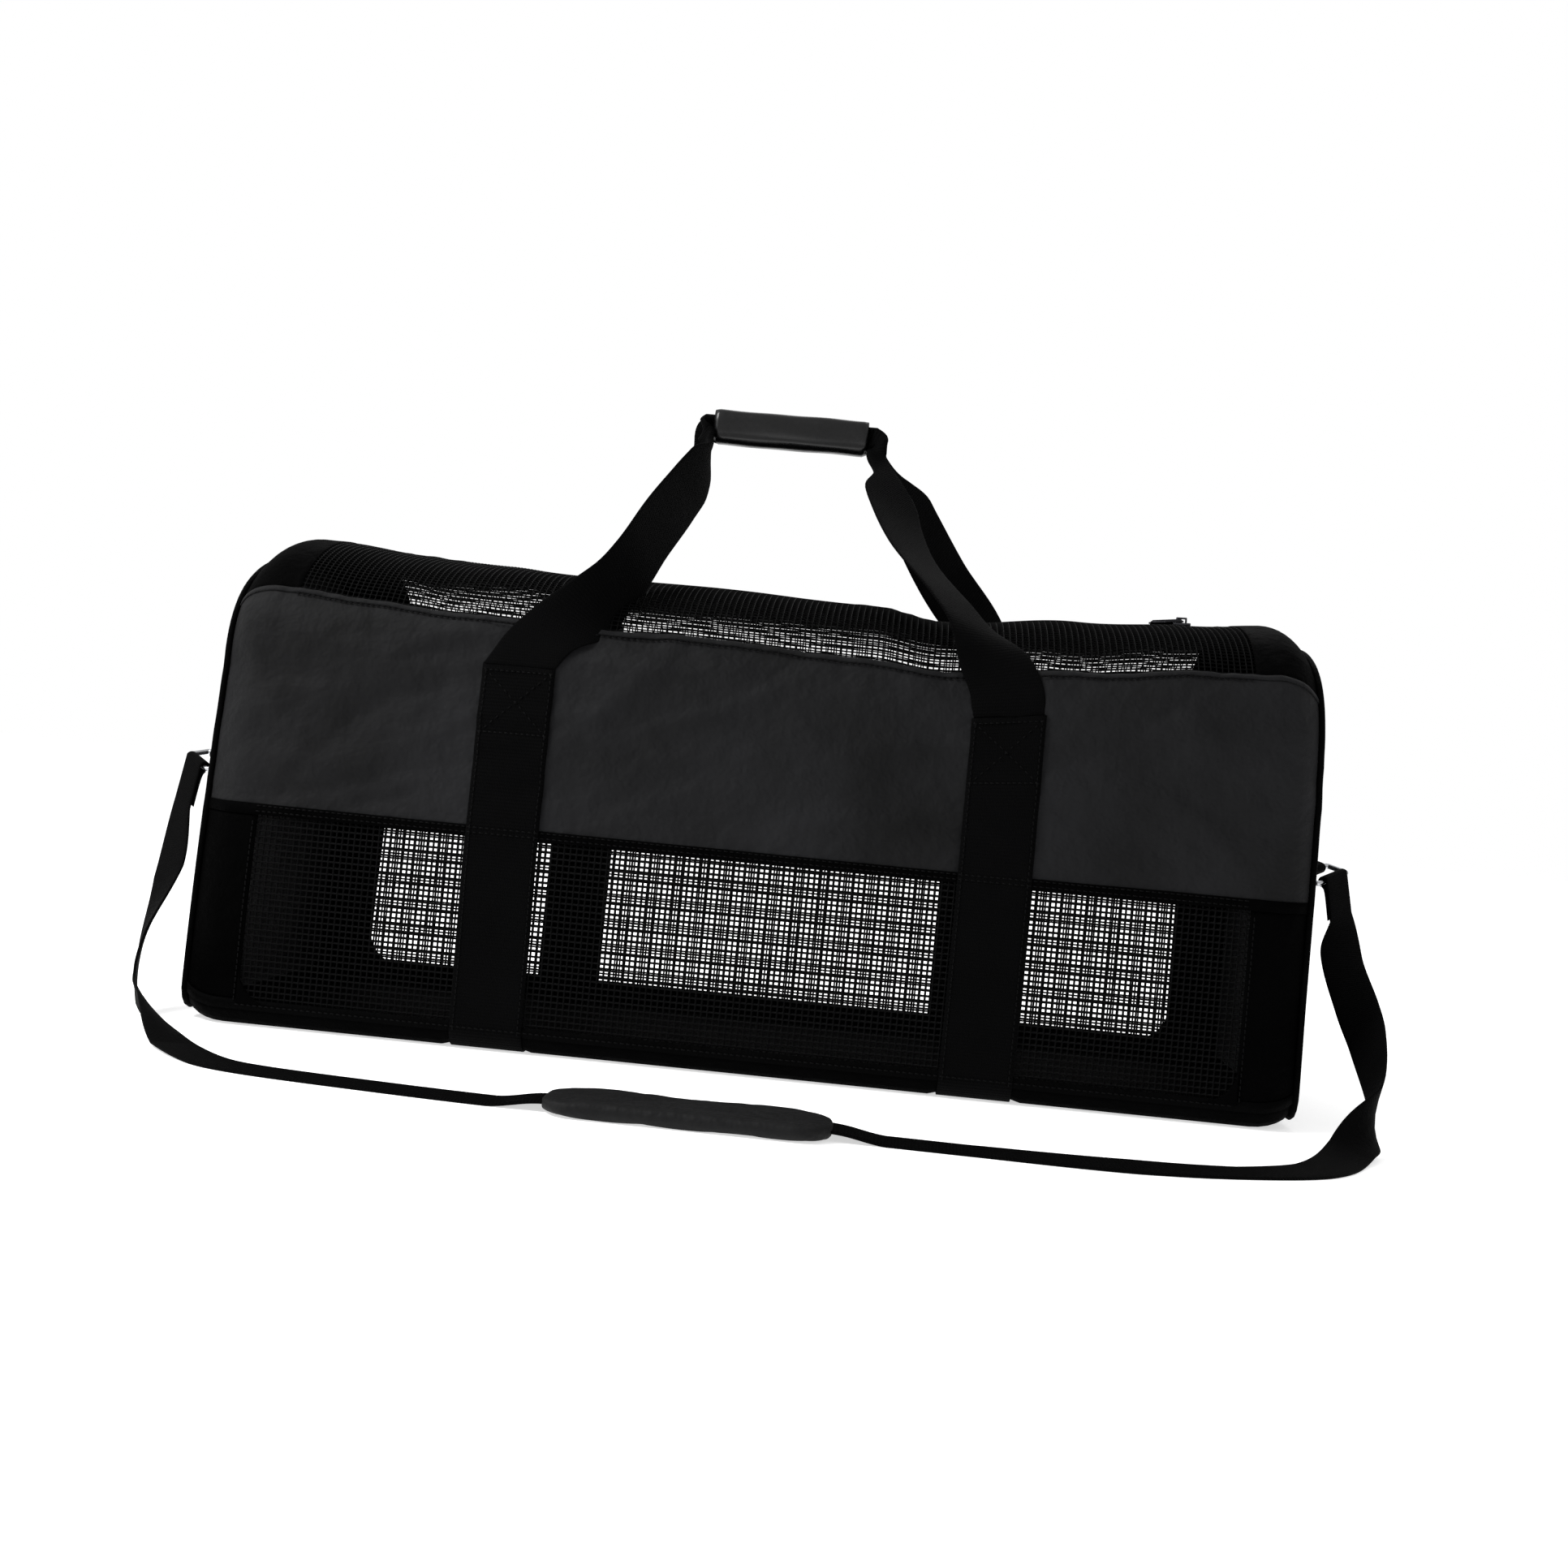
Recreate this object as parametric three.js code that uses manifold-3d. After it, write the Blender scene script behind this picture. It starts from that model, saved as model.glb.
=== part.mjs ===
// A long mesh duffel bag for dive gear, standing on its base, with its shoulder strap laid out in front.
// Millimetres. +X runs along the bag, +Y to its back, +Z up. The origin is the middle of the base's
// underside.
import * as THREE from "three";
import { mergeVertices } from "three/addons/utils/BufferGeometryUtils.js";
import Module from "manifold-3d";

// Bag body
const BAG_LENGTH = 792;
const BAG_DEPTH = 340;
const RIDGE_HEIGHT = 355;
const SHOULDER_HEIGHT = 265;
const BASE_RADIUS = 17;
const WALL_BELLY = 5;
const SHOULDER_POWER = 2.5;
const CREASE_RISE = 0.12;
const PANEL_RISE = 0.456;
const SLOPE_RISE = 0.93;

// Rounded ends
const END_BULGE = 8;
const END_ROUND = 34;
const TUCK_TOP = 40;
const TUCK_SIDE = 28;
const TUCK_BASE = 18;
const SEAM_ANGLE = 60;
const LEAN_LEFT = 14;
const LEAN_RIGHT = 8;
const LEAN_START = 0.6;
const END_CENTRE_HEIGHT = 165;

// Cloth and seams
const FABRIC_THICKNESS = 1.6;
const NET_THICKNESS = 1.2;
const WEBBING_THICKNESS = 1.8;
const SEAM_GAP = 0.3;
const NET_TOP = 148;
const BORDER_WIDTH = 54;
const TOP_BORDER_WIDTH = 75;
const PIPING_DIAMETER = 4.4;

// Net gaps
const STRAND_WIDTH = 5;
const NET_MARGIN = 4;
const BAY_GAPS = 3;
const MIDDLE_GAPS = 6;
const WALL_ROWS = 2;
const TOP_ROWS = 3;

// Zipper
const TAPE_HALF_WIDTH = 18;
const COIL_HALF_WIDTH = 3.2;
const COIL_RISE = 0.8;
const SLIDER_LENGTH = 13;
const SLIDER_WIDTH = 9;
const SLIDER_HEIGHT = 2.4;
const SLIDER_END_GAP = 12;
const BRIDGE_LENGTH = 7;
const BRIDGE_WIDTH = 3;
const BRIDGE_HEIGHT = 4.2;
const BRIDGE_WALL = 1.4;
const PULL_LENGTH = 26;
const PULL_WIDTH = 8;
const PULL_THICKNESS = 1.2;
const PULL_BAR = 1.5;
const PULL_SLOT = 7;
const PULL_CLEARANCE = 0.4;
const PULL_ROUND = 2;

// Handles
const WEBBING_WIDTH = 50;
const WEBBING_PLACE = 168;
const HEM_STEP = 3;
const CREASE_GAP = 1.2;
const GRIP_LENGTH = 118;
const GRIP_SHIFT = -17;
const GRIP_RISE = 116;
const GRIP_WALL = 1.8;
const GRIP_HALF_DEPTH = 7;
const GRIP_HALF_RISE = 11.2;
const FOLD_WIDTH = 19;
const FOLD_THICKNESS = 4.4;
const FOLD_PLACE = 2.55;
const LEG_PARTS = 2;
const REAR_BOW_LEFT = 30;
const REAR_BOW_RIGHT = 16;

// Rings and shoulder strap
const RING_HEIGHT = 176;
const RING_WIRE = 4.4;
const RING_WIDTH = 36;
const RING_DEPTH = 18;
const RING_CORNER = 3.2;
const RING_TURN = 42;
const RING_TILT = 14;
const RING_APPROACH = 46;
const TAB_WIDTH = 27;
const TAB_THICKNESS = 1.6;
const STRAP_WIDTH = 30;
const STRAP_THICKNESS = 2;
const TAIL_LENGTH = 42;
const PAD_LENGTH = 170;
const PAD_WIDTH = 62;
const PAD_THICKNESS = 11;
const PAD_PLACE = -6.5;
const PAD_OUT = 2.118;
const PAD_END_SHARE = 0.6;

// How the top sags along the bag: shares of the half length, the ridge height and the shoulder height.
const SAG = [
  { at: -1.0, ridge: 1.0, shoulder: 1.0 },
  { at: -0.86, ridge: 0.993, shoulder: 0.995 },
  { at: -0.71, ridge: 0.98, shoulder: 0.981 },
  { at: -0.54, ridge: 0.977, shoulder: 0.957 },
  { at: -0.38, ridge: 0.968, shoulder: 0.961 },
  { at: -0.06, ridge: 0.971, shoulder: 0.955 },
  { at: 0.17, ridge: 0.971, shoulder: 0.935 },
  { at: 0.3, ridge: 0.958, shoulder: 0.929 },
  { at: 0.55, ridge: 0.979, shoulder: 0.965 },
  { at: 0.75, ridge: 0.992, shoulder: 1.0 },
  { at: 1.0, ridge: 1.0, shoulder: 1.0 },
];

// One handle leg from the crease to the grip: shares of its run along the bag at the left and at the right,
// of its run back and up, of its turn and of its fold.
const LEG = [
  { left: 0.0, right: 0.0, back: 0.0, up: 0.0, turn: 0.0, fold: 0.0 },
  { left: 0.08, right: 0.04, back: 0.01, up: 0.09, turn: 0.02, fold: 0.0 },
  { left: 0.28, right: 0.17, back: 0.06, up: 0.22, turn: 0.06, fold: 0.0 },
  { left: 0.51, right: 0.37, back: 0.2, up: 0.37, turn: 0.1, fold: 0.0 },
  { left: 0.7, right: 0.58, back: 0.42, up: 0.54, turn: 0.15, fold: 0.0 },
  { left: 0.81, right: 0.74, back: 0.66, up: 0.7, turn: 0.2, fold: 0.0 },
  { left: 0.875, right: 0.84, back: 0.84, up: 0.84, turn: 0.3, fold: 0.15 },
  { left: 0.905, right: 0.9, back: 0.945, up: 0.93, turn: 0.55, fold: 0.9 },
  { left: 0.945, right: 0.95, back: 0.98, up: 0.98, turn: 0.9, fold: 1.15 },
  { left: 1.0, right: 1.0, back: 1.0, up: 1.0, turn: 1.0, fold: 1.0 },
];

// Where the shoulder strap runs from the pad to each ring: shares of the half length, the half depth and the
// ring height, and the direction of the strap's width there.
const LEFT_RUN = [
  { along: -0.31, out: -2.118, up: 0.0, wx: 0.0, wy: 1.0, wz: 0.0 },
  { along: -0.48, out: -2.08, up: 0.0, wx: 0.1, wy: 1.0, wz: 0.0 },
  { along: -0.702, out: -1.994, up: 0.0, wx: 0.3, wy: 0.95, wz: 0.0 },
  { along: -0.768, out: -1.918, up: 0.0, wx: 0.6, wy: 0.8, wz: 0.0 },
  { along: -0.866, out: -1.66, up: 0.0, wx: 0.8, wy: 0.6, wz: 0.0 },
  { along: -0.977, out: -1.23, up: 0.004, wx: 0.85, wy: 0.5, wz: 0.05 },
  { along: -1.056, out: -0.97, up: 0.09, wx: 0.4, wy: 0.8, wz: 0.35 },
  { along: -1.0935, out: -0.765, up: 0.244, wx: 0.0, wy: 0.95, wz: 0.3 },
  { along: -1.092, out: -0.5, up: 0.523, wx: -0.4, wy: 0.85, wz: 0.25 },
];
const RIGHT_RUN = [
  { along: 0.276, out: -2.112, up: 0.0, wx: 0.0, wy: 1.0, wz: 0.0 },
  { along: 0.397, out: -2.118, up: 0.0, wx: 0.0, wy: 1.0, wz: 0.0 },
  { along: 0.636, out: -2.12, up: 0.0, wx: -0.1, wy: 1.0, wz: 0.05 },
  { along: 0.815, out: -1.99, up: 0.0, wx: -0.4, wy: 0.9, wz: 0.15 },
  { along: 0.952, out: -1.82, up: 0.0, wx: -0.65, wy: 0.65, wz: 0.35 },
  { along: 1.043, out: -1.47, up: 0.02, wx: -0.85, wy: 0.3, wz: 0.45 },
  { along: 1.075, out: -1.206, up: 0.1, wx: 0.0, wy: -0.6, wz: 0.8 },
  { along: 1.091, out: -0.853, up: 0.307, wx: 0.62, wy: -0.5, wz: 0.6 },
  { along: 1.086, out: -0.676, up: 0.443, wx: 0.85, wy: -0.3, wz: 0.3 },
  { along: 1.074, out: -0.44, up: 0.653, wx: 1.0, wy: 0.0, wz: 0.0 },
];

// Where each ring's outer bar hangs: its side, its reach past the end, its step to the front and down.
const RING_LEFT = { side: -1, reach: 48, forward: 8, drop: 0 };
const RING_RIGHT = { side: 1, reach: 33, forward: 10, drop: 6 };

const HALF_LENGTH = BAG_LENGTH / 2;
const HALF_DEPTH = BAG_DEPTH / 2;
const GRIP_HEIGHT = RIDGE_HEIGHT + GRIP_RISE;
const PAD_FORWARD = PAD_OUT * HALF_DEPTH;
const END_X = HALF_LENGTH - END_BULGE;
const ROUND_START = END_X - END_ROUND;
const EDGE_U = ROUND_START + (END_ROUND * Math.PI) / 2;
const POLE_U = EDGE_U + HALF_DEPTH;
const SEAM_U = ROUND_START + END_ROUND * THREE.MathUtils.degToRad(SEAM_ANGLE);
const BORDER_U = HALF_LENGTH - BORDER_WIDTH;
const TOP_BORDER_U = HALF_LENGTH - TOP_BORDER_WIDTH;
const HALF_GAP = SEAM_GAP / 2;
const WEB_IN = WEBBING_PLACE - WEBBING_WIDTH / 2;
const WEB_OUT = WEBBING_PLACE + WEBBING_WIDTH / 2;
const WEB_OFFSET = SEAM_GAP + WEBBING_THICKNESS;
const NORMAL_STEP = 0.01;

// The places round a section, counted from the middle of the base (0) up the front (+) or the back (-).
const CORNER_V = 1;
const NET_LOW_V = 2;
const NET_HIGH_V = 3;
const SHOULDER_V = 4;
const PANEL_TOP_V = 5;
const SLOPE_V = 6;
const TAPE_V = 7;
const RIDGE_V = 8;
const MID_WALL_V = NET_HIGH_V + 0.5;
const KNEE_V = SHOULDER_V + 0.66;
const CREASE_V = SHOULDER_V + CREASE_RISE / PANEL_RISE;

const FABRIC = new THREE.MeshStandardMaterial({ color: 0x1a1b1e, roughness: 0.8 });
const NET = new THREE.MeshStandardMaterial({ color: 0x101113, roughness: 0.55 });
const WEBBING = new THREE.MeshStandardMaterial({ color: 0x0c0c0d, roughness: 0.85 });
const GRIP = new THREE.MeshStandardMaterial({ color: 0x161618, roughness: 0.45 });
const PAD = new THREE.MeshStandardMaterial({ color: 0x151517, roughness: 0.9 });
const STEEL = new THREE.MeshStandardMaterial({ color: 0xc9ccd0, roughness: 0.25, metalness: 1 });
const COIL = new THREE.MeshStandardMaterial({ color: 0x0a0a0b, roughness: 0.5 });

const wasm = await Module();
wasm.setup();
const bag = new THREE.Group();

// Makes a named mesh of points and triangles, welded, without empty triangles and with its faces out.
function addSolid(name, points, triangles, material) {
  const raw = new THREE.BufferGeometry();
  raw.setAttribute("position", new THREE.Float32BufferAttribute(points.flatMap((p) => [p.x, p.y, p.z]), 3));
  raw.setIndex(triangles.flat());
  const welded = mergeVertices(raw, 1e-3);
  const ids = welded.index.array;
  const at = (i) => new THREE.Vector3().fromBufferAttribute(welded.attributes.position, i);
  let kept = [];
  let volume = 0;
  for (let i = 0; i < ids.length; i += 3) {
    const [a, b, c] = [ids[i], ids[i + 1], ids[i + 2]];
    if (a === b || b === c || c === a) continue;
    kept.push([a, b, c]);
    volume += at(a).dot(at(b).cross(at(c)));
  }
  if (volume < 0) kept = kept.map(([a, b, c]) => [a, c, b]);
  welded.setIndex(kept.flat());
  welded.computeVertexNormals();
  const mesh = new THREE.Mesh(welded, material);
  mesh.name = name;
  bag.add(mesh);
  return mesh;
}

// Reads a table at a place between its rows, along a smooth curve through the given column.
function readTable(rows, place, column) {
  const last = rows.length - 1;
  let i = 0;
  while (i < last - 1 && place > rows[i + 1].at) i += 1;
  const share = THREE.MathUtils.clamp((place - rows[i].at) / (rows[i + 1].at - rows[i].at), 0, 1);
  return THREE.MathUtils.lerp(rows[i][column], rows[i + 1][column], THREE.MathUtils.smoothstep(share, 0, 1));
}

// The distance out from the middle plane at a share of the rise from the shoulder to the ridge, and back.
const outAtRise = (rise) => HALF_DEPTH * (1 - rise ** SHOULDER_POWER) ** (1 / SHOULDER_POWER);
const riseAtOut = (out) => (1 - (out / HALF_DEPTH) ** SHOULDER_POWER) ** (1 / SHOULDER_POWER);

// One point of the bag's section at x, before its ends are rounded: y across and z up.
function sectionPoint(x, place) {
  const v = place > RIDGE_V ? place - 2 * RIDGE_V : place < -RIDGE_V ? place + 2 * RIDGE_V : place;
  const way = v >= 0 ? -1 : 1;
  const a = Math.abs(v);
  const share = a - Math.floor(a);
  const ridge = RIDGE_HEIGHT * readTable(SAG, x / HALF_LENGTH, "ridge");
  const shoulder = SHOULDER_HEIGHT * readTable(SAG, x / HALF_LENGTH, "shoulder");
  const wall = (z) => {
    const bow = Math.sin((Math.PI * (z - BASE_RADIUS)) / (shoulder - BASE_RADIUS)) ** 2;
    return { y: way * (HALF_DEPTH + WALL_BELLY * bow * (1 - (x / HALF_LENGTH) ** 2)), z };
  };
  const top = (rise) => ({ y: way * outAtRise(rise), z: shoulder + (ridge - shoulder) * rise });
  if (a < CORNER_V) return { y: way * a * (HALF_DEPTH - BASE_RADIUS), z: 0 };
  if (a < NET_LOW_V) {
    const angle = (share * Math.PI) / 2;
    const corner = HALF_DEPTH - BASE_RADIUS;
    return { y: way * (corner + BASE_RADIUS * Math.sin(angle)), z: BASE_RADIUS * (1 - Math.cos(angle)) };
  }
  if (a < NET_HIGH_V) return wall(THREE.MathUtils.lerp(BASE_RADIUS, NET_TOP, share));
  if (a < SHOULDER_V) return wall(THREE.MathUtils.lerp(NET_TOP, shoulder, share));
  if (a < PANEL_TOP_V) return top(PANEL_RISE * share);
  if (a < SLOPE_V) return top(THREE.MathUtils.lerp(PANEL_RISE, SLOPE_RISE, share));
  const slopeOut = outAtRise(SLOPE_RISE);
  if (a < TAPE_V) return top(riseAtOut(THREE.MathUtils.lerp(slopeOut, TAPE_HALF_WIDTH, share)));
  return top(riseAtOut(TAPE_HALF_WIDTH * Math.max(0, RIDGE_V - a)));
}

// One point of the bag's skin: u runs along the bag and in over its rounded ends, v round its section.
function skinPoint(u, v) {
  const side = Math.sign(u);
  const reach = Math.abs(u);
  const angle = THREE.MathUtils.clamp((reach - ROUND_START) / END_ROUND, 0, Math.PI / 2);
  const inward = THREE.MathUtils.clamp((reach - EDGE_U) / HALF_DEPTH, 0, 1);
  let x = reach < ROUND_START ? u : side * (ROUND_START + END_ROUND * Math.sin(angle));
  const here = sectionPoint(x, v);
  const next = sectionPoint(x, v + NORMAL_STEP);
  const before = sectionPoint(x, v - NORMAL_STEP);
  const down = Math.max(0, (before.y - next.y) / Math.hypot(next.y - before.y, next.z - before.z));
  const tuck = 1 - Math.cos(angle);
  const topShare = TUCK_TOP / (RIDGE_HEIGHT - END_CENTRE_HEIGHT);
  const heightShare = here.z > END_CENTRE_HEIGHT ? topShare : TUCK_BASE / END_CENTRE_HEIGHT;
  let y = here.y * (1 - (TUCK_SIDE / HALF_DEPTH) * tuck);
  let z = THREE.MathUtils.lerp(here.z, END_CENTRE_HEIGHT, heightShare * tuck);
  const lean = (side < 0 ? LEAN_LEFT : LEAN_RIGHT) * Math.max(0, z / RIDGE_HEIGHT) ** 1.5;
  x -= side * lean * THREE.MathUtils.smoothstep(reach / HALF_LENGTH, LEAN_START, 1) * (1 - inward);
  x += side * END_BULGE * (1 - (1 - inward) ** 2);
  y *= 1 - inward;
  z = THREE.MathUtils.lerp(z, END_CENTRE_HEIGHT, inward);
  return { point: new THREE.Vector3(x, y, z), down };
}

// The skin's outward direction at u, v.
function skinNormal(u, v) {
  if (Math.abs(u) > POLE_U - 1) return new THREE.Vector3(Math.sign(u), 0, 0);
  const along = skinPoint(u + NORMAL_STEP, v).point.sub(skinPoint(u - NORMAL_STEP, v).point);
  const round = skinPoint(u, v + NORMAL_STEP).point.sub(skinPoint(u, v - NORMAL_STEP).point);
  return along.cross(round).normalize();
}

// A point off the skin. The base rises a little over each handle webbing, so that both lie on the floor.
function offSkin(u, v, offset) {
  const { point, down } = skinPoint(u, v);
  const reach = Math.abs(u);
  const edge = Math.min(reach - (WEB_IN - HEM_STEP), WEB_OUT + HEM_STEP - reach) / HEM_STEP;
  point.z += WEB_OFFSET * down * THREE.MathUtils.clamp(edge, 0, 1);
  return point.addScaledVector(skinNormal(u, v), offset);
}

// A piece of cloth over a grid of u and v, from one offset off the skin to another. The cells that keep()
// drops are cut out.
function addSheet(name, us, vs, outer, inner, material, { wrap = false, keep = () => true } = {}) {
  const columns = vs.length - (wrap ? 1 : 0);
  const points = [];
  for (const offset of [outer, inner]) {
    for (const u of us) {
      for (let j = 0; j < columns; j += 1) points.push(offSkin(u, vs[j], offset));
    }
  }
  const layer = us.length * columns;
  const id = (i, j, side) => side * layer + i * columns + (j % columns);
  const solid = (i, j) => {
    if (i < 0 || i >= us.length - 1) return false;
    if (wrap) return keep(i, (j + vs.length - 1) % (vs.length - 1));
    return j >= 0 && j < vs.length - 1 && keep(i, j);
  };
  const triangles = [];
  const quad = (a, b, c, d) => triangles.push([a, b, c], [a, c, d]);
  for (let i = 0; i < us.length - 1; i += 1) {
    for (let j = 0; j < vs.length - 1; j += 1) {
      if (!solid(i, j)) continue;
      quad(id(i, j, 0), id(i + 1, j, 0), id(i + 1, j + 1, 0), id(i, j + 1, 0));
      quad(id(i, j, 1), id(i, j + 1, 1), id(i + 1, j + 1, 1), id(i + 1, j, 1));
      if (!solid(i - 1, j)) quad(id(i, j, 0), id(i, j + 1, 0), id(i, j + 1, 1), id(i, j, 1));
      if (!solid(i + 1, j)) quad(id(i + 1, j, 0), id(i + 1, j, 1), id(i + 1, j + 1, 1), id(i + 1, j + 1, 0));
      if (!solid(i, j - 1)) quad(id(i, j, 0), id(i, j, 1), id(i + 1, j, 1), id(i + 1, j, 0));
      if (!solid(i, j + 1)) quad(id(i, j + 1, 0), id(i + 1, j + 1, 0), id(i + 1, j + 1, 1), id(i, j + 1, 1));
    }
  }
  return addSolid(name, points, triangles, material);
}

// Joins rings of points into one solid, closed on itself or with a flat cap at each end. The quads that
// turned() names are split along their other diagonal.
function addLoft(name, rings, material, { closed = false, turned = () => false } = {}) {
  const size = rings[0].length;
  const count = rings.length;
  const triangles = [];
  for (let i = 0; i < count - (closed ? 0 : 1); i += 1) {
    const here = i * size;
    const next = ((i + 1) % count) * size;
    for (let j = 0; j < size; j += 1) {
      const k = (j + 1) % size;
      if (turned(i, j)) triangles.push([here + j, here + k, next + j], [here + k, next + k, next + j]);
      else triangles.push([here + j, here + k, next + k], [here + j, next + k, next + j]);
    }
  }
  if (!closed) {
    const end = (count - 1) * size;
    for (let j = 1; j < size - 1; j += 1) triangles.push([0, j + 1, j], [end, end + j, end + j + 1]);
  }
  return addSolid(name, rings.flat(), triangles, material);
}

// A sleeve: outer rings and inner rings joined, open at both ends.
function addSleeve(name, outerRings, innerRings, material) {
  const size = outerRings[0].length;
  const count = outerRings.length;
  const triangles = [];
  const inner = count * size;
  const quad = (a, b, c, d) => triangles.push([a, b, c], [a, c, d]);
  for (let j = 0; j < size; j += 1) {
    const k = (j + 1) % size;
    for (let i = 0; i < count - 1; i += 1) {
      const [here, next] = [i * size, (i + 1) * size];
      quad(here + j, here + k, next + k, next + j);
      quad(inner + here + k, inner + here + j, inner + next + j, inner + next + k);
    }
    const end = (count - 1) * size;
    quad(k, j, inner + j, inner + k);
    quad(end + j, end + k, inner + end + k, inner + end + j);
  }
  return addSolid(name, [...outerRings.flat(), ...innerRings.flat()], triangles, material);
}

// A strap through stations that hold a point, a width direction, a width and a thickness. The width is
// turned square to the strap's run, apart from a slanted strap's. The quads of both faces are split along
// the same diagonal, also where the strap comes back over itself, so that a twisted strap stays even.
function addStrap(name, stations, material, slanted = false) {
  const rings = stations.map((station, i) => {
    const before = stations[Math.max(0, i - 1)].point;
    const next = stations[Math.min(stations.length - 1, i + 1)].point;
    const along = station.along ?? next.clone().sub(before).normalize();
    const square = station.across.clone().addScaledVector(along, -station.across.dot(along)).normalize();
    const across = slanted ? station.across : square;
    const face = along.clone().cross(across).normalize();
    const corners = [[-1, -1], [1, -1], [1, 1], [-1, 1]];
    return corners.map(([w, t]) =>
      station.point.clone()
        .addScaledVector(across, (w * station.width) / 2)
        .addScaledVector(face, (t * station.thickness) / 2));
  });
  const turned = (i, face) => (face === 2) !== Boolean(stations[i].back);
  return addLoft(name, rings, material, { turned });
}

// Values from first to last in even steps, both included.
const steps = (first, last, count) =>
  Array.from({ length: count + 1 }, (_, i) => first + ((last - first) * i) / count);

// Edges of evenly spaced gaps between two places, with a strand before, between and after them.
function gapEdges(first, last, gaps, strand) {
  const gap = (last - first - strand * (gaps + 1)) / gaps;
  const starts = Array.from({ length: gaps }, (_, i) => first + strand + i * (gap + strand));
  return starts.flatMap((at) => [at, at + gap]);
}

// Turns places on the right or at the front into the matching ones on the left or at the back.
const mirrored = (lines) => lines.map((at) => -at).reverse();

// Lines along the bag: those of the base, and those that the upper panels, top nets and zipper share.
const roundLines = [ROUND_START, (ROUND_START + SEAM_U) / 2, SEAM_U - HALF_GAP];
const baseLines = [WEB_IN - HEM_STEP, WEB_IN, WEB_OUT, WEB_OUT + HEM_STEP, ...roundLines];
const BASE_US = [...mirrored(baseLines), ...baseLines];
const TOP_REACH = TOP_BORDER_U - HALF_GAP;
const TOP_GAP_EDGES = gapEdges(-TOP_REACH, TOP_REACH, 2 * BAY_GAPS + MIDDLE_GAPS, STRAND_WIDTH);
const TOP_US = [-TOP_REACH, ...TOP_GAP_EDGES, TOP_REACH];
const PANEL_US = [...mirrored(roundLines), ...TOP_US, ...roundLines];

// Turns seam gaps into places round the section at the panel seams.
const lowGap = HALF_GAP / (NET_TOP - BASE_RADIUS);
const cornerGap = (HALF_GAP * 2) / (BASE_RADIUS * Math.PI);
const wallGap = HALF_GAP / (SHOULDER_HEIGHT - NET_TOP);
const riseGap = HALF_GAP / ((RIDGE_HEIGHT - SHOULDER_HEIGHT) * PANEL_RISE);
const slopeGap = HALF_GAP / (outAtRise(PANEL_RISE) - outAtRise(SLOPE_RISE));
const tapeGap = HALF_GAP / (outAtRise(SLOPE_RISE) - TAPE_HALF_WIDTH);
const ridgeGap = HALF_GAP / TAPE_HALF_WIDTH;
const creaseGap = CREASE_GAP / (PANEL_RISE * (RIDGE_HEIGHT - SHOULDER_HEIGHT));
const COIL_V = RIDGE_V - COIL_HALF_WIDTH / TAPE_HALF_WIDTH;

const lowCorner = [CORNER_V, CORNER_V + 1 / 3, CORNER_V + 2 / 3];
const BASE_LINES = [
  ...[NET_LOW_V - cornerGap, ...lowCorner.slice().reverse()].map((v) => -v),
  0,
  ...lowCorner,
  NET_LOW_V - cornerGap,
];
const WALL_STRAND = STRAND_WIDTH / (NET_TOP - BASE_RADIUS);
const WALL_ROW_EDGES = gapEdges(NET_LOW_V + lowGap, NET_HIGH_V - lowGap, WALL_ROWS, WALL_STRAND);
const WALL_VS = [NET_LOW_V + lowGap, ...WALL_ROW_EDGES, NET_HIGH_V - lowGap];
const PANEL_LINES = [
  NET_HIGH_V + wallGap, MID_WALL_V, SHOULDER_V, CREASE_V, KNEE_V, PANEL_TOP_V - riseGap,
];

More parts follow.
